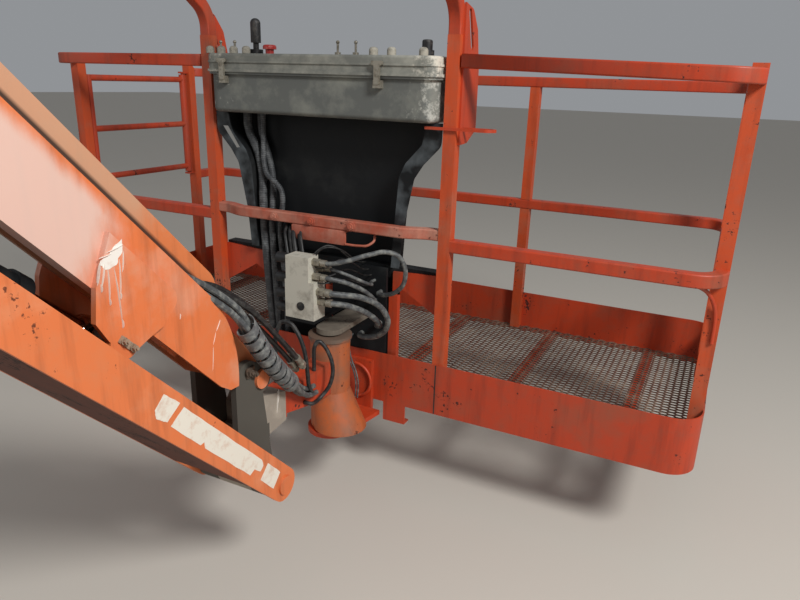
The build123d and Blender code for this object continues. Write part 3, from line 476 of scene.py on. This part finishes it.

# %% [markdown]
# ## Dressing the frame's own pieces
# Every piece of the frame takes one of these finishes, by name. What isn't named is a rail, a toe
# board or another part of the platform's own red-orange steel, and the arm that carries the rotator,
# which takes that darker red as a painted shade.

# %% Give each node its finish
finishes = [
    (jib_enamel, "boom_knuckle knuckle_tubes knuckle_pins base_pin_collars link_pins"),
    (shroud_enamel, "arm_shroud cylinder_lugs"),
    (box_enamel, "upper_arm_box"),
    (lower_enamel, "lower_arm_sides"),
    (shaded_web_enamel, "lower_arm_web"),
    (rotator_enamel, "rotator_housing"),
    (yoke_enamel, "yoke_arm rotator_shaft"),
    (pin_steel, "eye_pin_ends"),
    (zinc_steel, "valve_ports lid_clips console_levers"),
    (black_enamel, "cylinder_barrel mount_beam mount_plate"),
    (black_stand_enamel_wear_and_highlight, "console_stand"),
    (chrome_rod, "cylinder_rod"),
    (link_steel, "front_link"),
    (valve_aluminium, "valve_block"),
    (mesh_steel, "floor_panel"),
    (console_plastic, "console_box"),
    (lid_plastic, "console_rim"),
    (boss_plastic, "lid_bosses"),
    (black_plastic, "joysticks valve_coils hose_clamps"),
    (dark_rubber, "sleeve_hoses arm_hoses hose_sleeve"),
    (grey_rubber, "valve_hoses"),
    (conduit_plastic, "console_conduits"),
    (red_plastic, "stop_button"),
    (post_enamel, "posts"),
    (bow_enamel, "bow_rail bow_plate bow_hook"),
]
finish_of = {name: finish for finish, names in finishes for name in names.split()}
for name, node in nodes.items():
    node.data.materials.clear()
    # the arm under the rotator falls here too: its darker red is painted shade
    node.data.materials.append(finish_of.get(name, rail_enamel))
print("platform pieces in red-orange:", sorted(set(nodes) - set(finish_of)))

# %% [markdown]
# ## Places for the small pieces
# The frame's bodies each have a handy corner to measure from: the arms from their root pins, and
# the platform from the middle of its boom side rail. A matrix for each lets a piece be drawn in
# plain millimetres there and then moved into place, so its object stays at the origin.

# %% Places and a piece maker
tilt = Matrix.Rotation(-arm_slope, 4, "X")
scale_mm = Matrix.Scale(MM, 4)
upper_arm_place = Matrix.Translation(arm_root) @ tilt @ scale_mm
lower_arm_place = Matrix.Translation(lower_root) @ tilt @ scale_mm
mount_place = Matrix.Translation((0.0, rail_y, floor_z)) @ scale_mm
platform_place = Matrix.Translation((-0.150, rail_y, floor_z)) @ scale_mm


def make_piece(name, shape, place, finish, body=None, crease=35.0):
    """Moves a bmesh drawn in millimetres into place, as one piece. Without a body it rides none."""
    bmesh.ops.transform(shape, matrix=place, verts=shape.verts)
    bmesh.ops.recalc_face_normals(shape, faces=shape.faces)
    mesh = bpy.data.meshes.new(name)
    shape.to_mesh(mesh)
    shape.free()
    mesh.shade_smooth()
    mesh.set_sharp_from_angle(angle=math.radians(crease))
    mesh.materials.append(finish)
    piece = bpy.data.objects.new(name, mesh)
    bpy.context.scene.collection.objects.link(piece)
    if body:
        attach(piece, body)
    print(name, len(mesh.polygons), "faces")
    return piece


def add_round(shape, a, b, r, sides=16):
    """A solid round bar from a to b, in the bmesh."""
    a, b = Vector(a), Vector(b)
    turn_z = (b - a).to_track_quat("Z", "Y").to_matrix().to_4x4()
    place = Matrix.Translation((a + b) / 2) @ turn_z
    bmesh.ops.create_cone(shape, cap_ends=True, segments=sides, radius1=r, radius2=r,
                          depth=(b - a).length, matrix=place)


def add_box(shape, low, high):
    """A box between two opposite corners, in the bmesh."""
    low, high = Vector(low), Vector(high)
    place = Matrix.Translation((low + high) / 2) @ Matrix.Diagonal((*(high - low), 1.0))
    bmesh.ops.create_cube(shape, size=1.0, matrix=place)


def add_bolt(shape, foot, out, across=19.0):
    """A hex head on a washer, its foot on the surface and out pointing away from it."""
    foot, out = Vector(foot), Vector(out).normalized()
    washer_top, head_top, thread_top = 2.5, 9.5, 14.0
    add_round(shape, foot - out * 1.0, foot + out * washer_top, across * 0.72, sides=20)
    add_round(shape, foot + out * washer_top, foot + out * head_top, across * 0.577, sides=6)
    add_round(shape, foot + out * head_top, foot + out * thread_top, across * 0.3, sides=12)


def round_edges(shape, offset):
    """Rounds every edge of the bmesh in two steps, offset millimetres wide."""
    bmesh.ops.bevel(shape, geom=shape.edges[:], offset=offset, segments=2, profile=0.5,
                    affect="EDGES", material=-1)


def verts_of(result):
    """The vertices among what an operator says it made."""
    return [v for v in result["geom"] if isinstance(v, bmesh.types.BMVert)]


print("platform's corner of measure at", [round(v, 3) for v in platform_place.translation])

# %% [markdown]
# ## Blank plates on the lower arm
# Three stuck-on vinyl plates run down the lower arm, white, torn at the joints and scuffed. Each
# is cut from a few corners, its edges are broken into short steps and pushed about by a noise, and
# it is raised by half a millimetre. Nothing is written on them.

# %% Vinyl and the three plates
# Calendered vinyl is smooth and a little glossy, here dulled and stained by the paint's dust
vinyl = dusty_finish("scuffed_white_vinyl", "#e2dacb", "#c9a48c", 28.0, 0.35, 0.5, 0.0, 0.05)
plate_corners = {
    "label_plate_back": [(1277, 26), (1329, 28), (1322, -16), (1290, -20), (1276, -8)],
    "label_plate_long": [(1345, 26), (1425, 25), (1684, 22), (1699, 12), (1698, -4), (1672, -6),
                         (1664, -23), (1464, -22), (1452, -12), (1446, -21), (1336, -19), (1341, 6)],
    "label_plate_front": [(1715, 23), (1784, 21), (1786, -23), (1714, -20)],
}
label_side = 132.0
# Blender starts this noise from the clock, so a seed is set to get the same edge each run
noise.seed_set(1)


def add_torn_plate(shape, face_x, corners, thick=0.5, ragged=1.6):
    """A thin plate on a face at that x, its outline broken into short steps and pushed about."""
    old_verts, old_faces = set(shape.verts), set(shape.faces)
    face = shape.faces.new([shape.verts.new((face_x + 0.05, s, t)) for s, t in corners])
    bmesh.ops.subdivide_edges(shape, edges=face.edges[:], cuts=5)
    for vert in [v for v in shape.verts if v not in old_verts]:
        push = noise.noise_vector(vert.co * 0.09) * ragged
        vert.co += Vector((0, push.y, push.z))
    grown = bmesh.ops.extrude_face_region(shape, geom=[f for f in shape.faces if f not in old_faces])
    bmesh.ops.translate(shape, verts=verts_of(grown), vec=(thick, 0, 0))


for name, corners in plate_corners.items():
    shape = bmesh.new()
    add_torn_plate(shape, label_side, corners)
    make_piece(name, shape, lower_arm_place, vinyl, "lower_arm")

# %% [markdown]
# ## Runs of white paint
# White paint was once spilt on the jib. It lies as a ragged patch at the lug's upper corner, made
# as the plates are, and ran down from there in a few drips that end in beads. Each drip and bead
# is a flattened sphere, stretched from its start to its end on the plate.

# %% Paint runs
white_paint = dusty_finish("spilt_white_paint", "#eae3d9", "#d3b3a3", 40.0, 0.3, 0.5, 0.0, 0.05)


def add_runs(shape, runs):
    """Each run is the x of the plate's face, its start and end there, and its width."""
    for face_x, (s0, t0), (s1, t1), width in runs:
        start, end = Vector((face_x, s0, t0)), Vector((face_x, s1, t1))
        lie = (end - start).to_track_quat("Y", "X").to_matrix().to_4x4()
        size = Matrix.Diagonal((0.35, (end - start).length / 2, width / 2, 1.0))
        bmesh.ops.create_uvsphere(shape, u_segments=12, v_segments=8, radius=1.0,
                                  matrix=Matrix.Translation((start + end) / 2) @ lie @ size)


lug_side, shroud_side, block_side = 94.0, 82.0, 52.0
shape = bmesh.new()
patch = [(1249, 16), (1259, 8), (1262, -8), (1266, -24), (1260, -38), (1251, -44), (1243, -40),
         (1236, -44), (1234, -38), (1243, -24), (1241, -8)]
add_torn_plate(shape, lug_side, patch, thick=0.3, ragged=4.0)
add_runs(shape, [
    (lug_side, (1244, -36), (1266, -74), 9), (lug_side, (1236, -40), (1256, -74), 8),
    (lug_side, (1254, -38), (1296, -84), 9), (lug_side, (1262, -28), (1345, -101), 8),
    (lug_side, (1264, -12), (1310, -64), 8), (lug_side, (1262, 4), (1286, -28), 7),
    (lug_side, (1338, -94), (1350, -107), 11), (lug_side, (1290, -78), (1300, -88), 11),
    (lug_side, (1303, -57), (1313, -68), 10), (lug_side, (1260, -68), (1270, -79), 11),
    (lug_side, (1230, -36), (1246, -14), 6), (lug_side, (1236, -20), (1256, 12), 7),
    (shroud_side, (1584, 36), (1590, 10), 4), (shroud_side, (1590, 8), (1602, -18), 3),
    (shroud_side, (1604, -20), (1640, -64), 3), (shroud_side, (1470, -12), (1477, -22), 5),
])
make_piece("paint_runs", shape, upper_arm_place, white_paint, "upper_arm")
shape = bmesh.new()
add_runs(shape, [(block_side, (-536, 222), (-543, 160), 7), (block_side, (-531, 226), (-536, 186), 5)])
make_piece("block_paint_run", shape, mount_place, white_paint, "front_link")

# %% [markdown]
# ## Bolts and keepers
# A pin is kept from walking out by a small flat bar in its end, held by two bolts. The rail that
# bows out in front of the console's stand carries three big bolts and two small plugs. The bolts
# are hexagons on washers.

# %% Bolts
shape = bmesh.new()
add_box(shape, (94, 1356, -132), (98, 1400, -118))
for s in (1364, 1390):
    add_bolt(shape, (98, s, -125), (1, 0, 0), 10)
make_piece("eye_pin_keeper", shape, upper_arm_place, keeper_steel, "upper_arm")
shape = bmesh.new()
add_box(shape, (70, -682, 322), (76, -654, 346))
add_bolt(shape, (76, -676, 338), (1, 0, 0), 15)
add_bolt(shape, (76, -660, 328), (1, 0, 0), 13)
make_piece("link_pin_keeper", shape, mount_place, pin_steel, "front_link")
shape = bmesh.new()
for x in (-162, -15, 135):
    add_bolt(shape, (x, -46, 567), (0, -1, 0), 20)
for x in (-224, 207):
    add_round(shape, (x, -46.6, 568), (x, -45, 568), 5)
make_piece("rail_bolts", shape, platform_place, bow_enamel, "platform")

# %% [markdown]
# ## A dented top rail
# The platform's top rail has been knocked. Its far side hangs 36 mm low, and the near side right
# of the console climbs towards its post. The frame's straight rail is copied, its loose triangles
# are merged, and every point slides up or down by how far across and along the platform it lies.
# The far posts are pushed down with it, by a share that grows from nothing at the mid rail.

# %% Top rails
near_post_y, far_post_y, far_sag = 95.0, 700.0, 36.0
post_side_x, end_x, post_side_up, end_drop = 460.0, 1200.0, 10.0, 12.0


def dent(co):
    """How far the rail stands above its straight place, at that point of the platform."""
    far = min(1.0, max(0.0, (co.y - near_post_y) / (far_post_y - near_post_y)))
    along = min(1.0, max(0.0, (co.x - post_side_x) / (end_x - post_side_x)))
    lift = post_side_up - (post_side_up + end_drop) * along if co.x > 0 else 0.0
    return lift * (1.0 - far) - far_sag * far


def frame_copy(name):
    """A copy of a frame piece as a bmesh, merged, and in the platform's millimetres."""
    shape = bmesh.new()
    shape.from_mesh(nodes[name].data)
    bmesh.ops.remove_doubles(shape, verts=shape.verts, dist=0.01 * MM)
    bmesh.ops.transform(shape, matrix=platform_place.inverted(), verts=shape.verts)
    return shape


shape = frame_copy("top_rails")
for vert in shape.verts:
    vert.co.z += dent(vert.co)
top_rails = make_piece("top_rails_dented", shape, platform_place, rail_enamel, "platform")
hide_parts("top_rails")
shape = frame_copy("posts")
straight_to, rail_under = 600.0, 1034.0
for vert in shape.verts:
    share = min(1.0, max(0.0, (vert.co.z - straight_to) / (rail_under - straight_to)))
    if vert.co.y > far_post_y:
        vert.co.z += dent(vert.co) * share
posts = make_piece("posts_dented", shape, platform_place, post_enamel, "platform")
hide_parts("posts")

# %% [markdown]
# ## The plate under the bowed rail
# A bent plate hangs under the rail that bows out before the stand, from a flange that is welded
# to the rail's underside. It is a flat blank with a sharp bend, so two boxes with a bevel do.

# %% Bow plate
shape = bmesh.new()
add_box(shape, (-90, -49, 503), (116, -43, 549))
add_box(shape, (-90, -43, 544), (116, -16, 550))
round_edges(shape, 1.2)
bow_angle = make_piece("bow_angle", shape, platform_place, bow_enamel, "platform")
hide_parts("bow_plate")

# %% [markdown]
# ## The floor's expanded mesh
# The floor is expanded metal: a sheet is slit and pulled, and opens into diamonds that are joined
# in short bonds. Each strand is a zigzag with flats at its turns. It starts as one point, which is
# extruded from turn to turn, then widened and thickened. Neighbours are mirrored, so that they meet
# at the bonds. A diamond here is about 46 mm long and 20 mm wide. The rows shorten towards both
# long sides, because the floor's corners are round.

# %% Expanded mesh
floor_low, floor_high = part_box("floor_panel")
diamond_long, diamond_wide, bond, strand, sheet_wall = 46.0, 20.0, 10.0, 4.0, 3.5
floor_half_x = (floor_high.x - floor_low.x) / 2 / MM
floor_y0, floor_y1 = -19.0, (floor_high.y - rail_y) / MM
corner_r = 80.0
most = 54


def swing(x, side):
    """How far the strand stands off its middle line, a flat topped wave."""
    phase = (x / diamond_long) % 1.0
    flat = bond / diamond_long
    slant = 0.5 - flat
    if phase < flat:
        share = 1.0
    elif phase < 0.5:
        share = 1.0 - 2.0 * (phase - flat) / slant
    elif phase < 0.5 + flat:
        share = -1.0
    else:
        share = -1.0 + 2.0 * (phase - 0.5 - flat) / slant
    return side * share * diamond_wide / 4


shape = bmesh.new()
rows = int((floor_y1 - floor_y0 - strand) / (diamond_wide / 2))
row_pitch = (floor_y1 - floor_y0 - strand) / rows
for row in range(rows):
    y = floor_y0 + row_pitch * (row + 0.5)
    inset = max(0.0, corner_r - min(y - floor_y0, floor_y1 - y))
    reach = floor_half_x - (corner_r - math.sqrt(corner_r ** 2 - inset ** 2))
    turns = [k * diamond_long / 2 + step for k in range(-most, most) for step in (0.0, bond)]
    stops = [-reach] + [x for x in turns if abs(x) < reach - 1] + [reach]
    side = 1 if row % 2 else -1
    chain = bmesh.ops.create_vert(shape, co=(stops[0], y + swing(stops[0], side), -sheet_wall))["vert"]
    for x in stops[1:]:
        chain = bmesh.ops.extrude_vert_indiv(shape, verts=chain)["verts"]
        chain[0].co = (x, y + swing(x, side), -sheet_wall)
wide = bmesh.ops.extrude_edge_only(shape, edges=shape.edges[:])
bmesh.ops.translate(shape, verts=verts_of(wide), vec=(0, strand, 0))
thick = bmesh.ops.extrude_face_region(shape, geom=shape.faces[:])
bmesh.ops.translate(shape, verts=verts_of(thick), vec=(0, 0, sheet_wall))
floor_mesh = make_piece("floor_mesh", shape, platform_place, mesh_steel, "platform")
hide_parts("floor_panel")
print("mesh rows", rows, "pitch", round(row_pitch, 2), "mm")

# %% [markdown]
# ## Hoses on smooth curves
# A hose is stiff, so it lies in one long smooth line. A NURBS curve of order 3 gives that from a
# few points, and its bevel gives the round section. The curve is turned into a mesh at once, so
# that several hoses can be one piece.

# %% A hose maker
hose_rounding = 3


def hose_line(points, radius=0.0):
    """A curve object pulled by the points, to be made a mesh and removed."""
    curve = bpy.data.curves.new("hose_line", "CURVE")
    curve.dimensions = "3D"
    curve.resolution_u = 6
    curve.bevel_depth = radius
    curve.bevel_resolution = hose_rounding
    curve.use_fill_caps = radius > 0
    spline = curve.splines.new("NURBS")
    spline.points.add(len(points) - 1)
    for point, co in zip(spline.points, points):
        point.co = (*co, 1.0)
    spline.order_u = 3
    spline.use_endpoint_u = True
    line = bpy.data.objects.new("hose_line", curve)
    bpy.context.scene.collection.objects.link(line)
    return line


def add_hose(shape, points, radius):
    """A round hose along the points, added to the bmesh."""
    line = hose_line(points, radius)
    mesh = bpy.data.meshes.new_from_object(line)
    shape.from_mesh(mesh)
    bpy.data.meshes.remove(mesh)
    bpy.data.objects.remove(line)


print("a hose has", 4 + 2 * hose_rounding, "sides")

# %% [markdown]
# ## The hoses from the arm to the platform
# Three grey hoses come up out of the shroud's channel, go into a spiral wrap at the jib's end, and
# leave it for the arm that carries the rotator. Darker ones lie above them. In CAD the run is two
# pieces, one on the arm and one on the link. Here it is one whole piece. The channel part is drawn
# in the arm's own millimetres and the rest in the mount's, so the first list is moved over.

# %% The hose bundle
into_mount = mount_place.inverted() @ upper_arm_place
wrap_route = [(111, -729, 488), (111, -704, 449), (109, -671, 403), (105, -631, 353),
              (97, -582, 303), (82, -524, 252), (66, -476, 214)]
under_rotator = [(58, -446, 186), (50, -404, 158), (40, -352, 146)]
# x and height in the channel, and how far each hose lies off the wrap's middle
grey_hoses = [(62, 44, 2, 12), (63, 26, 11, -6), (64, 50, -10, -7)]
shape = bmesh.new()
for x, height, off_x, off_z in grey_hoses:
    in_arm = [(x, 90, height), (x, 600, height), (x, 1150, height), (x + 1, 1400, height + 4),
              (x + 5, 1500, 62 + off_z), (x + 18, 1560, 68 + off_z), (x + 36, 1612, 66 + off_z)]
    points = [into_mount @ Vector(p) for p in in_arm]
    points += [Vector(p) + Vector((off_x, 0, off_z)) for p in wrap_route[1:] + under_rotator]
    add_hose(shape, points, 7.5)
grey_run = make_piece("arm_hoses_grey", shape, mount_place, grey_rubber)
shape = bmesh.new()
dark_route = [(62, -668, 478), (64, -612, 424), (62, -548, 358), (58, -488, 296), (52, -444, 248)]
dark_hoses = [(58, 30, -8, 34), (59, 16, 12, 20), (57, 2, -10, 6)]
for x, height, off_x, lift in dark_hoses:
    in_arm = [(x, 90, height), (x, 700, height), (x, 1380, height + 6), (x - 1, 1480, 62),
              (x, 1540, 78 + lift / 2)]
    points = [into_mount @ Vector(p) for p in in_arm]
    points += [Vector(p) + Vector((off_x, 0, lift)) for p in dark_route]
    add_hose(shape, points, 7.0)
dark_run = make_piece("arm_hoses_dark", shape, mount_place, dark_rubber)
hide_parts("arm_hoses", "hose_sleeve")
for run in (grey_run, dark_run):
    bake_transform(run)

# %% [markdown]
# ## The spiral wrap
# The wrap is a flat nylon band wound round the bundle, with a gap at each turn. A short line is
# spun about X and shifted at each step, which winds it into a band, and solidify gives the band
# its thickness. A Curve modifier then bends the straight winding along the hoses' own curve.

# %% Spiral wrap
wrap_r, wrap_pitch, band, steps_per_turn = 23.0, 36.0, 26.0, 24
line = hose_line([Vector(p) for p in wrap_route])
path = bpy.data.meshes.new_from_object(line)
path_length = sum((a.co - b.co).length for a, b in zip(path.vertices, path.vertices[1:]))
turns = int((path_length - band) / wrap_pitch)
shape = bmesh.new()
low = shape.verts.new((0, 0, wrap_r))
high = shape.verts.new((band, 0, wrap_r))
rung = shape.edges.new((low, high))
bmesh.ops.spin(shape, geom=[low, high, rung], cent=(0, 0, 0), axis=(1, 0, 0),
               angle=2 * math.pi * turns, steps=turns * steps_per_turn,
               dvec=(wrap_pitch / steps_per_turn, 0, 0))
bmesh.ops.solidify(shape, geom=shape.faces[:], thickness=2.0)
straight = bpy.data.meshes.new("straight_wrap")
shape.to_mesh(straight)
shape.free()
winding = bpy.data.objects.new("winding", straight)
bpy.context.scene.collection.objects.link(winding)
bend = winding.modifiers.new("bend", "CURVE")
bend.object = line
bend.deform_axis = "POS_X"
bpy.context.view_layer.update()
bent = bpy.data.meshes.new_from_object(winding.evaluated_get(bpy.context.evaluated_depsgraph_get()))
shape = bmesh.new()
shape.from_mesh(bent)
for leftover in (winding, line):
    bpy.data.objects.remove(leftover)
spiral_wrap = make_piece("spiral_wrap", shape, mount_place, wrap_plastic)
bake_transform(spiral_wrap)
print("wrap", round(path_length), "mm long,", turns, "turns")

# %% [markdown]
# ## Clamps in the channel
# Three nylon saddles hold the hoses in the channel. They sit lower than the shroud's edge, so that
# only the dark gap shows.

# %% Channel clamps
shape = bmesh.new()
for s in (293, 805, 1299):
    add_box(shape, (50, s - 11, 8), (74, s + 11, 56))
round_edges(shape, 3.0)
clamps = make_piece("channel_clamps", shape, upper_arm_place, black_plastic, "upper_arm")
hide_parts("hose_clamps")

# %% [markdown]
# ## Ferrules, wires and plugs
# A hydraulic hose ends in a zinc-plated ferrule crimped over its cover, with a swivel nut that
# screws onto the port. Thin wires run from the block to the mount's plate behind it, and the
# block's face has one plug with a hexagon in it.

# %% Ferrules on the valve's hoses
# where each hose starts, and its radius
valve_hose_starts = [((-18, -232, 492), 7), ((-18, -208, 470), 5), ((-18, -232, 448), 7),
                     ((0, -238, 405), 9), ((0, -232, 373), 9)]
shape = bmesh.new()
for (x, y, z), r in valve_hose_starts:
    add_round(shape, (x - 2, y, z), (x + 9, y, z), r + 5, sides=6)
    add_round(shape, (x + 9, y, z), (x + 13, y, z), r + 1)
    add_round(shape, (x + 13, y, z), (x + 29, y, z), r + 3.5)
make_piece("hose_ferrules", shape, mount_place, zinc_steel, "platform")
shape = bmesh.new()
add_round(shape, (-62, -260, 357), (-62, -262.5, 357), 13, sides=24)
add_round(shape, (-62, -262.5, 357), (-62, -264, 357), 7, sides=6)
make_piece("valve_plugs", shape, mount_place, black_plastic, "platform")
shape = bmesh.new()
wires = [
    [(-40, -215, 500), (-24, -216, 528), (4, -196, 536), (26, -160, 520), (34, -120, 488),
     (30, -70, 462), (24, -19, 452)],
    [(-40, -222, 478), (-14, -236, 470), (14, -214, 486), (30, -168, 500), (44, -120, 470),
     (40, -60, 436), (36, -19, 430)],
    [(-40, -218, 512), (-20, -200, 540), (10, -168, 530), (18, -128, 494), (12, -84, 470),
     (6, -40, 462), (4, -19, 460)],
    [(-40, -226, 462), (-8, -240, 452), (20, -214, 452), (40, -176, 470), (52, -130, 452),
     (48, -70, 420), (46, -19, 412)],
    [(-40, -224, 432), (-8, -246, 430), (24, -226, 436), (48, -180, 440), (60, -130, 418),
     (54, -76, 388), (50, -19, 380)],
]
wire_r = 2.2
for points in wires:
    add_hose(shape, points, wire_r)
make_piece("valve_wires", shape, mount_place, dark_rubber, "platform")

# %% [markdown]
# ## The harness behind the valve
# Black hoses and wires come out of the console's stand behind the bowed rail, pass behind the
# valve's coils and end at the mount's plate. They fill what would be a gap with a dark tangle.
# All five follow one route, each shifted sideways and forwards by its own amount.

# %% Harness
shape = bmesh.new()
harness_lines = [(0, 0, 8), (17, -6, 7), (34, 2, 6), (-15, -8, 5), (48, -10, 5)]
for off_x, off_y, r in harness_lines:
    free = [(-262, 20, 556), (-256, -36, 530), (-236, -60, 500), (-206, -84, 420), (-178, -86, 330),
            (-128, -70, 262)]
    middle = [(x + off_x, y + off_y, z) for x, y, z in free]
    ends_in_plate = [(-96 + off_x, -30, 236), (-94 + off_x, -19, 234)]
    add_hose(shape, [(-262 + off_x, 56, 560)] + middle + ends_in_plate, r)
make_piece("valve_harness", shape, mount_place, dark_rubber, "platform")

# %% [markdown]
# ## Crimps where the dark hoses end
# The darker hoses end in stacked couplings over the arm that carries the rotator: a crimped
# sleeve, a nut and a collar on each. They stay with the link.

# %% Couplings
shape = bmesh.new()
for off_x, lift in ((-8, 34), (12, 20), (-10, 6)):
    hose_end = Vector((52 + off_x, -444, 248 + lift))
    out = Vector((-0.12, 0.66, -0.74)).normalized()
    add_round(shape, hose_end - out * 40, hose_end - out * 8, 10.0)
    add_round(shape, hose_end - out * 8, hose_end + out * 8, 12.5, sides=6)
    add_round(shape, hose_end + out * 8, hose_end + out * 20, 8.0)
make_piece("hose_couplings", shape, mount_place, zinc_steel, "front_link")

# %% [markdown]
# ## Small things on the platform
# Two thin cables hang beside the rotator, a bent rod runs from the mid rail's bend down to the
# end post, and a dark seam shows where the toe board's two lengths meet.

# %% Cables, rod and joint
shape = bmesh.new()
for off in (0, 9):
    add_hose(shape, [(-30 + off, -19, 196), (-28 + off, -52, 180), (-14 + off, -62, 128),
                     (10 + off, -62, 80), (18 + off, -60, 30), (10 + off, -56, -16)], 2.6)
make_piece("rotator_cables", shape, mount_place, grey_rubber, "platform")
shape = bmesh.new()
add_hose(shape, [(1144, 4, 522), (1164, 26, 512), (1184, 52, 484), (1199, 68, 446), (1204, 72, 404),
                 (1204, 72, 350)], 5.5)
make_piece("latch_rod", shape, platform_place, rail_enamel, "platform")
shape = bmesh.new()
add_box(shape, (434, -23.4, -22), (438, -22.0, 149))
make_piece("toe_joint", shape, platform_place, dark_rubber, "platform")

# %% [markdown]
# ## Floor and light
# The object hangs over a plain pale floor. One large soft lamp stands in for a low sun on the
# right, so that the sides that face the picture are quieter than those that face the lamp. A weak
# one on the left and the world fill the shadows.

# %% Floor, lamps and world
floor_level = -1.80
mesh = bpy.data.meshes.new("studio_floor")
shape = bmesh.new()
bmesh.ops.create_grid(shape, x_segments=1, y_segments=1, size=40.0)
bmesh.ops.translate(shape, verts=shape.verts, vec=(0, 1, floor_level))
shape.to_mesh(mesh)
shape.free()
floor = bpy.data.objects.new("studio_floor", mesh)
bpy.context.scene.collection.objects.link(floor)
floor_material, floor_shader = new_material("studio_paint", Roughness=0.9)
floor_shader.inputs["Base Color"].default_value = hex_colour("#c6bfb4")
mesh.materials.append(floor_material)
floor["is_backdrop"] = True


def soft_lamp(name, place, aim, size, power):
    data = bpy.data.lights.new(name, "AREA")
    data.shape = "DISK"
    data.size = size
    data.energy = power
    lamp = bpy.data.objects.new(name, data)
    lamp.location = place
    lamp.rotation_euler = (Vector(aim) - Vector(place)).to_track_quat("-Z", "Y").to_euler()
    bpy.context.scene.collection.objects.link(lamp)


object_middle = (0, 1.6, -1.0)
soft_lamp("key_lamp", (3.6, 0.1, 2.2), object_middle, 1.2, 235.0)
soft_lamp("fill_lamp", (-3.5, -1.5, 1.0), object_middle, 3.0, 20.0)
world = bpy.data.worlds.new("studio")
world.use_nodes = True
world.node_tree.nodes["Background"].inputs[0].default_value = hex_colour("#dfe3e8")
world.node_tree.nodes["Background"].inputs[1].default_value = 0.38
bpy.context.scene.world = world
bpy.context.scene.view_settings.view_transform = "Standard"

# %% [markdown]
# ## Last measurements
# The size of the dressed object's box is printed.

# %% Measure and finish
low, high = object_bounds()
print("visual size", [round(v, 3) for v in high - low])
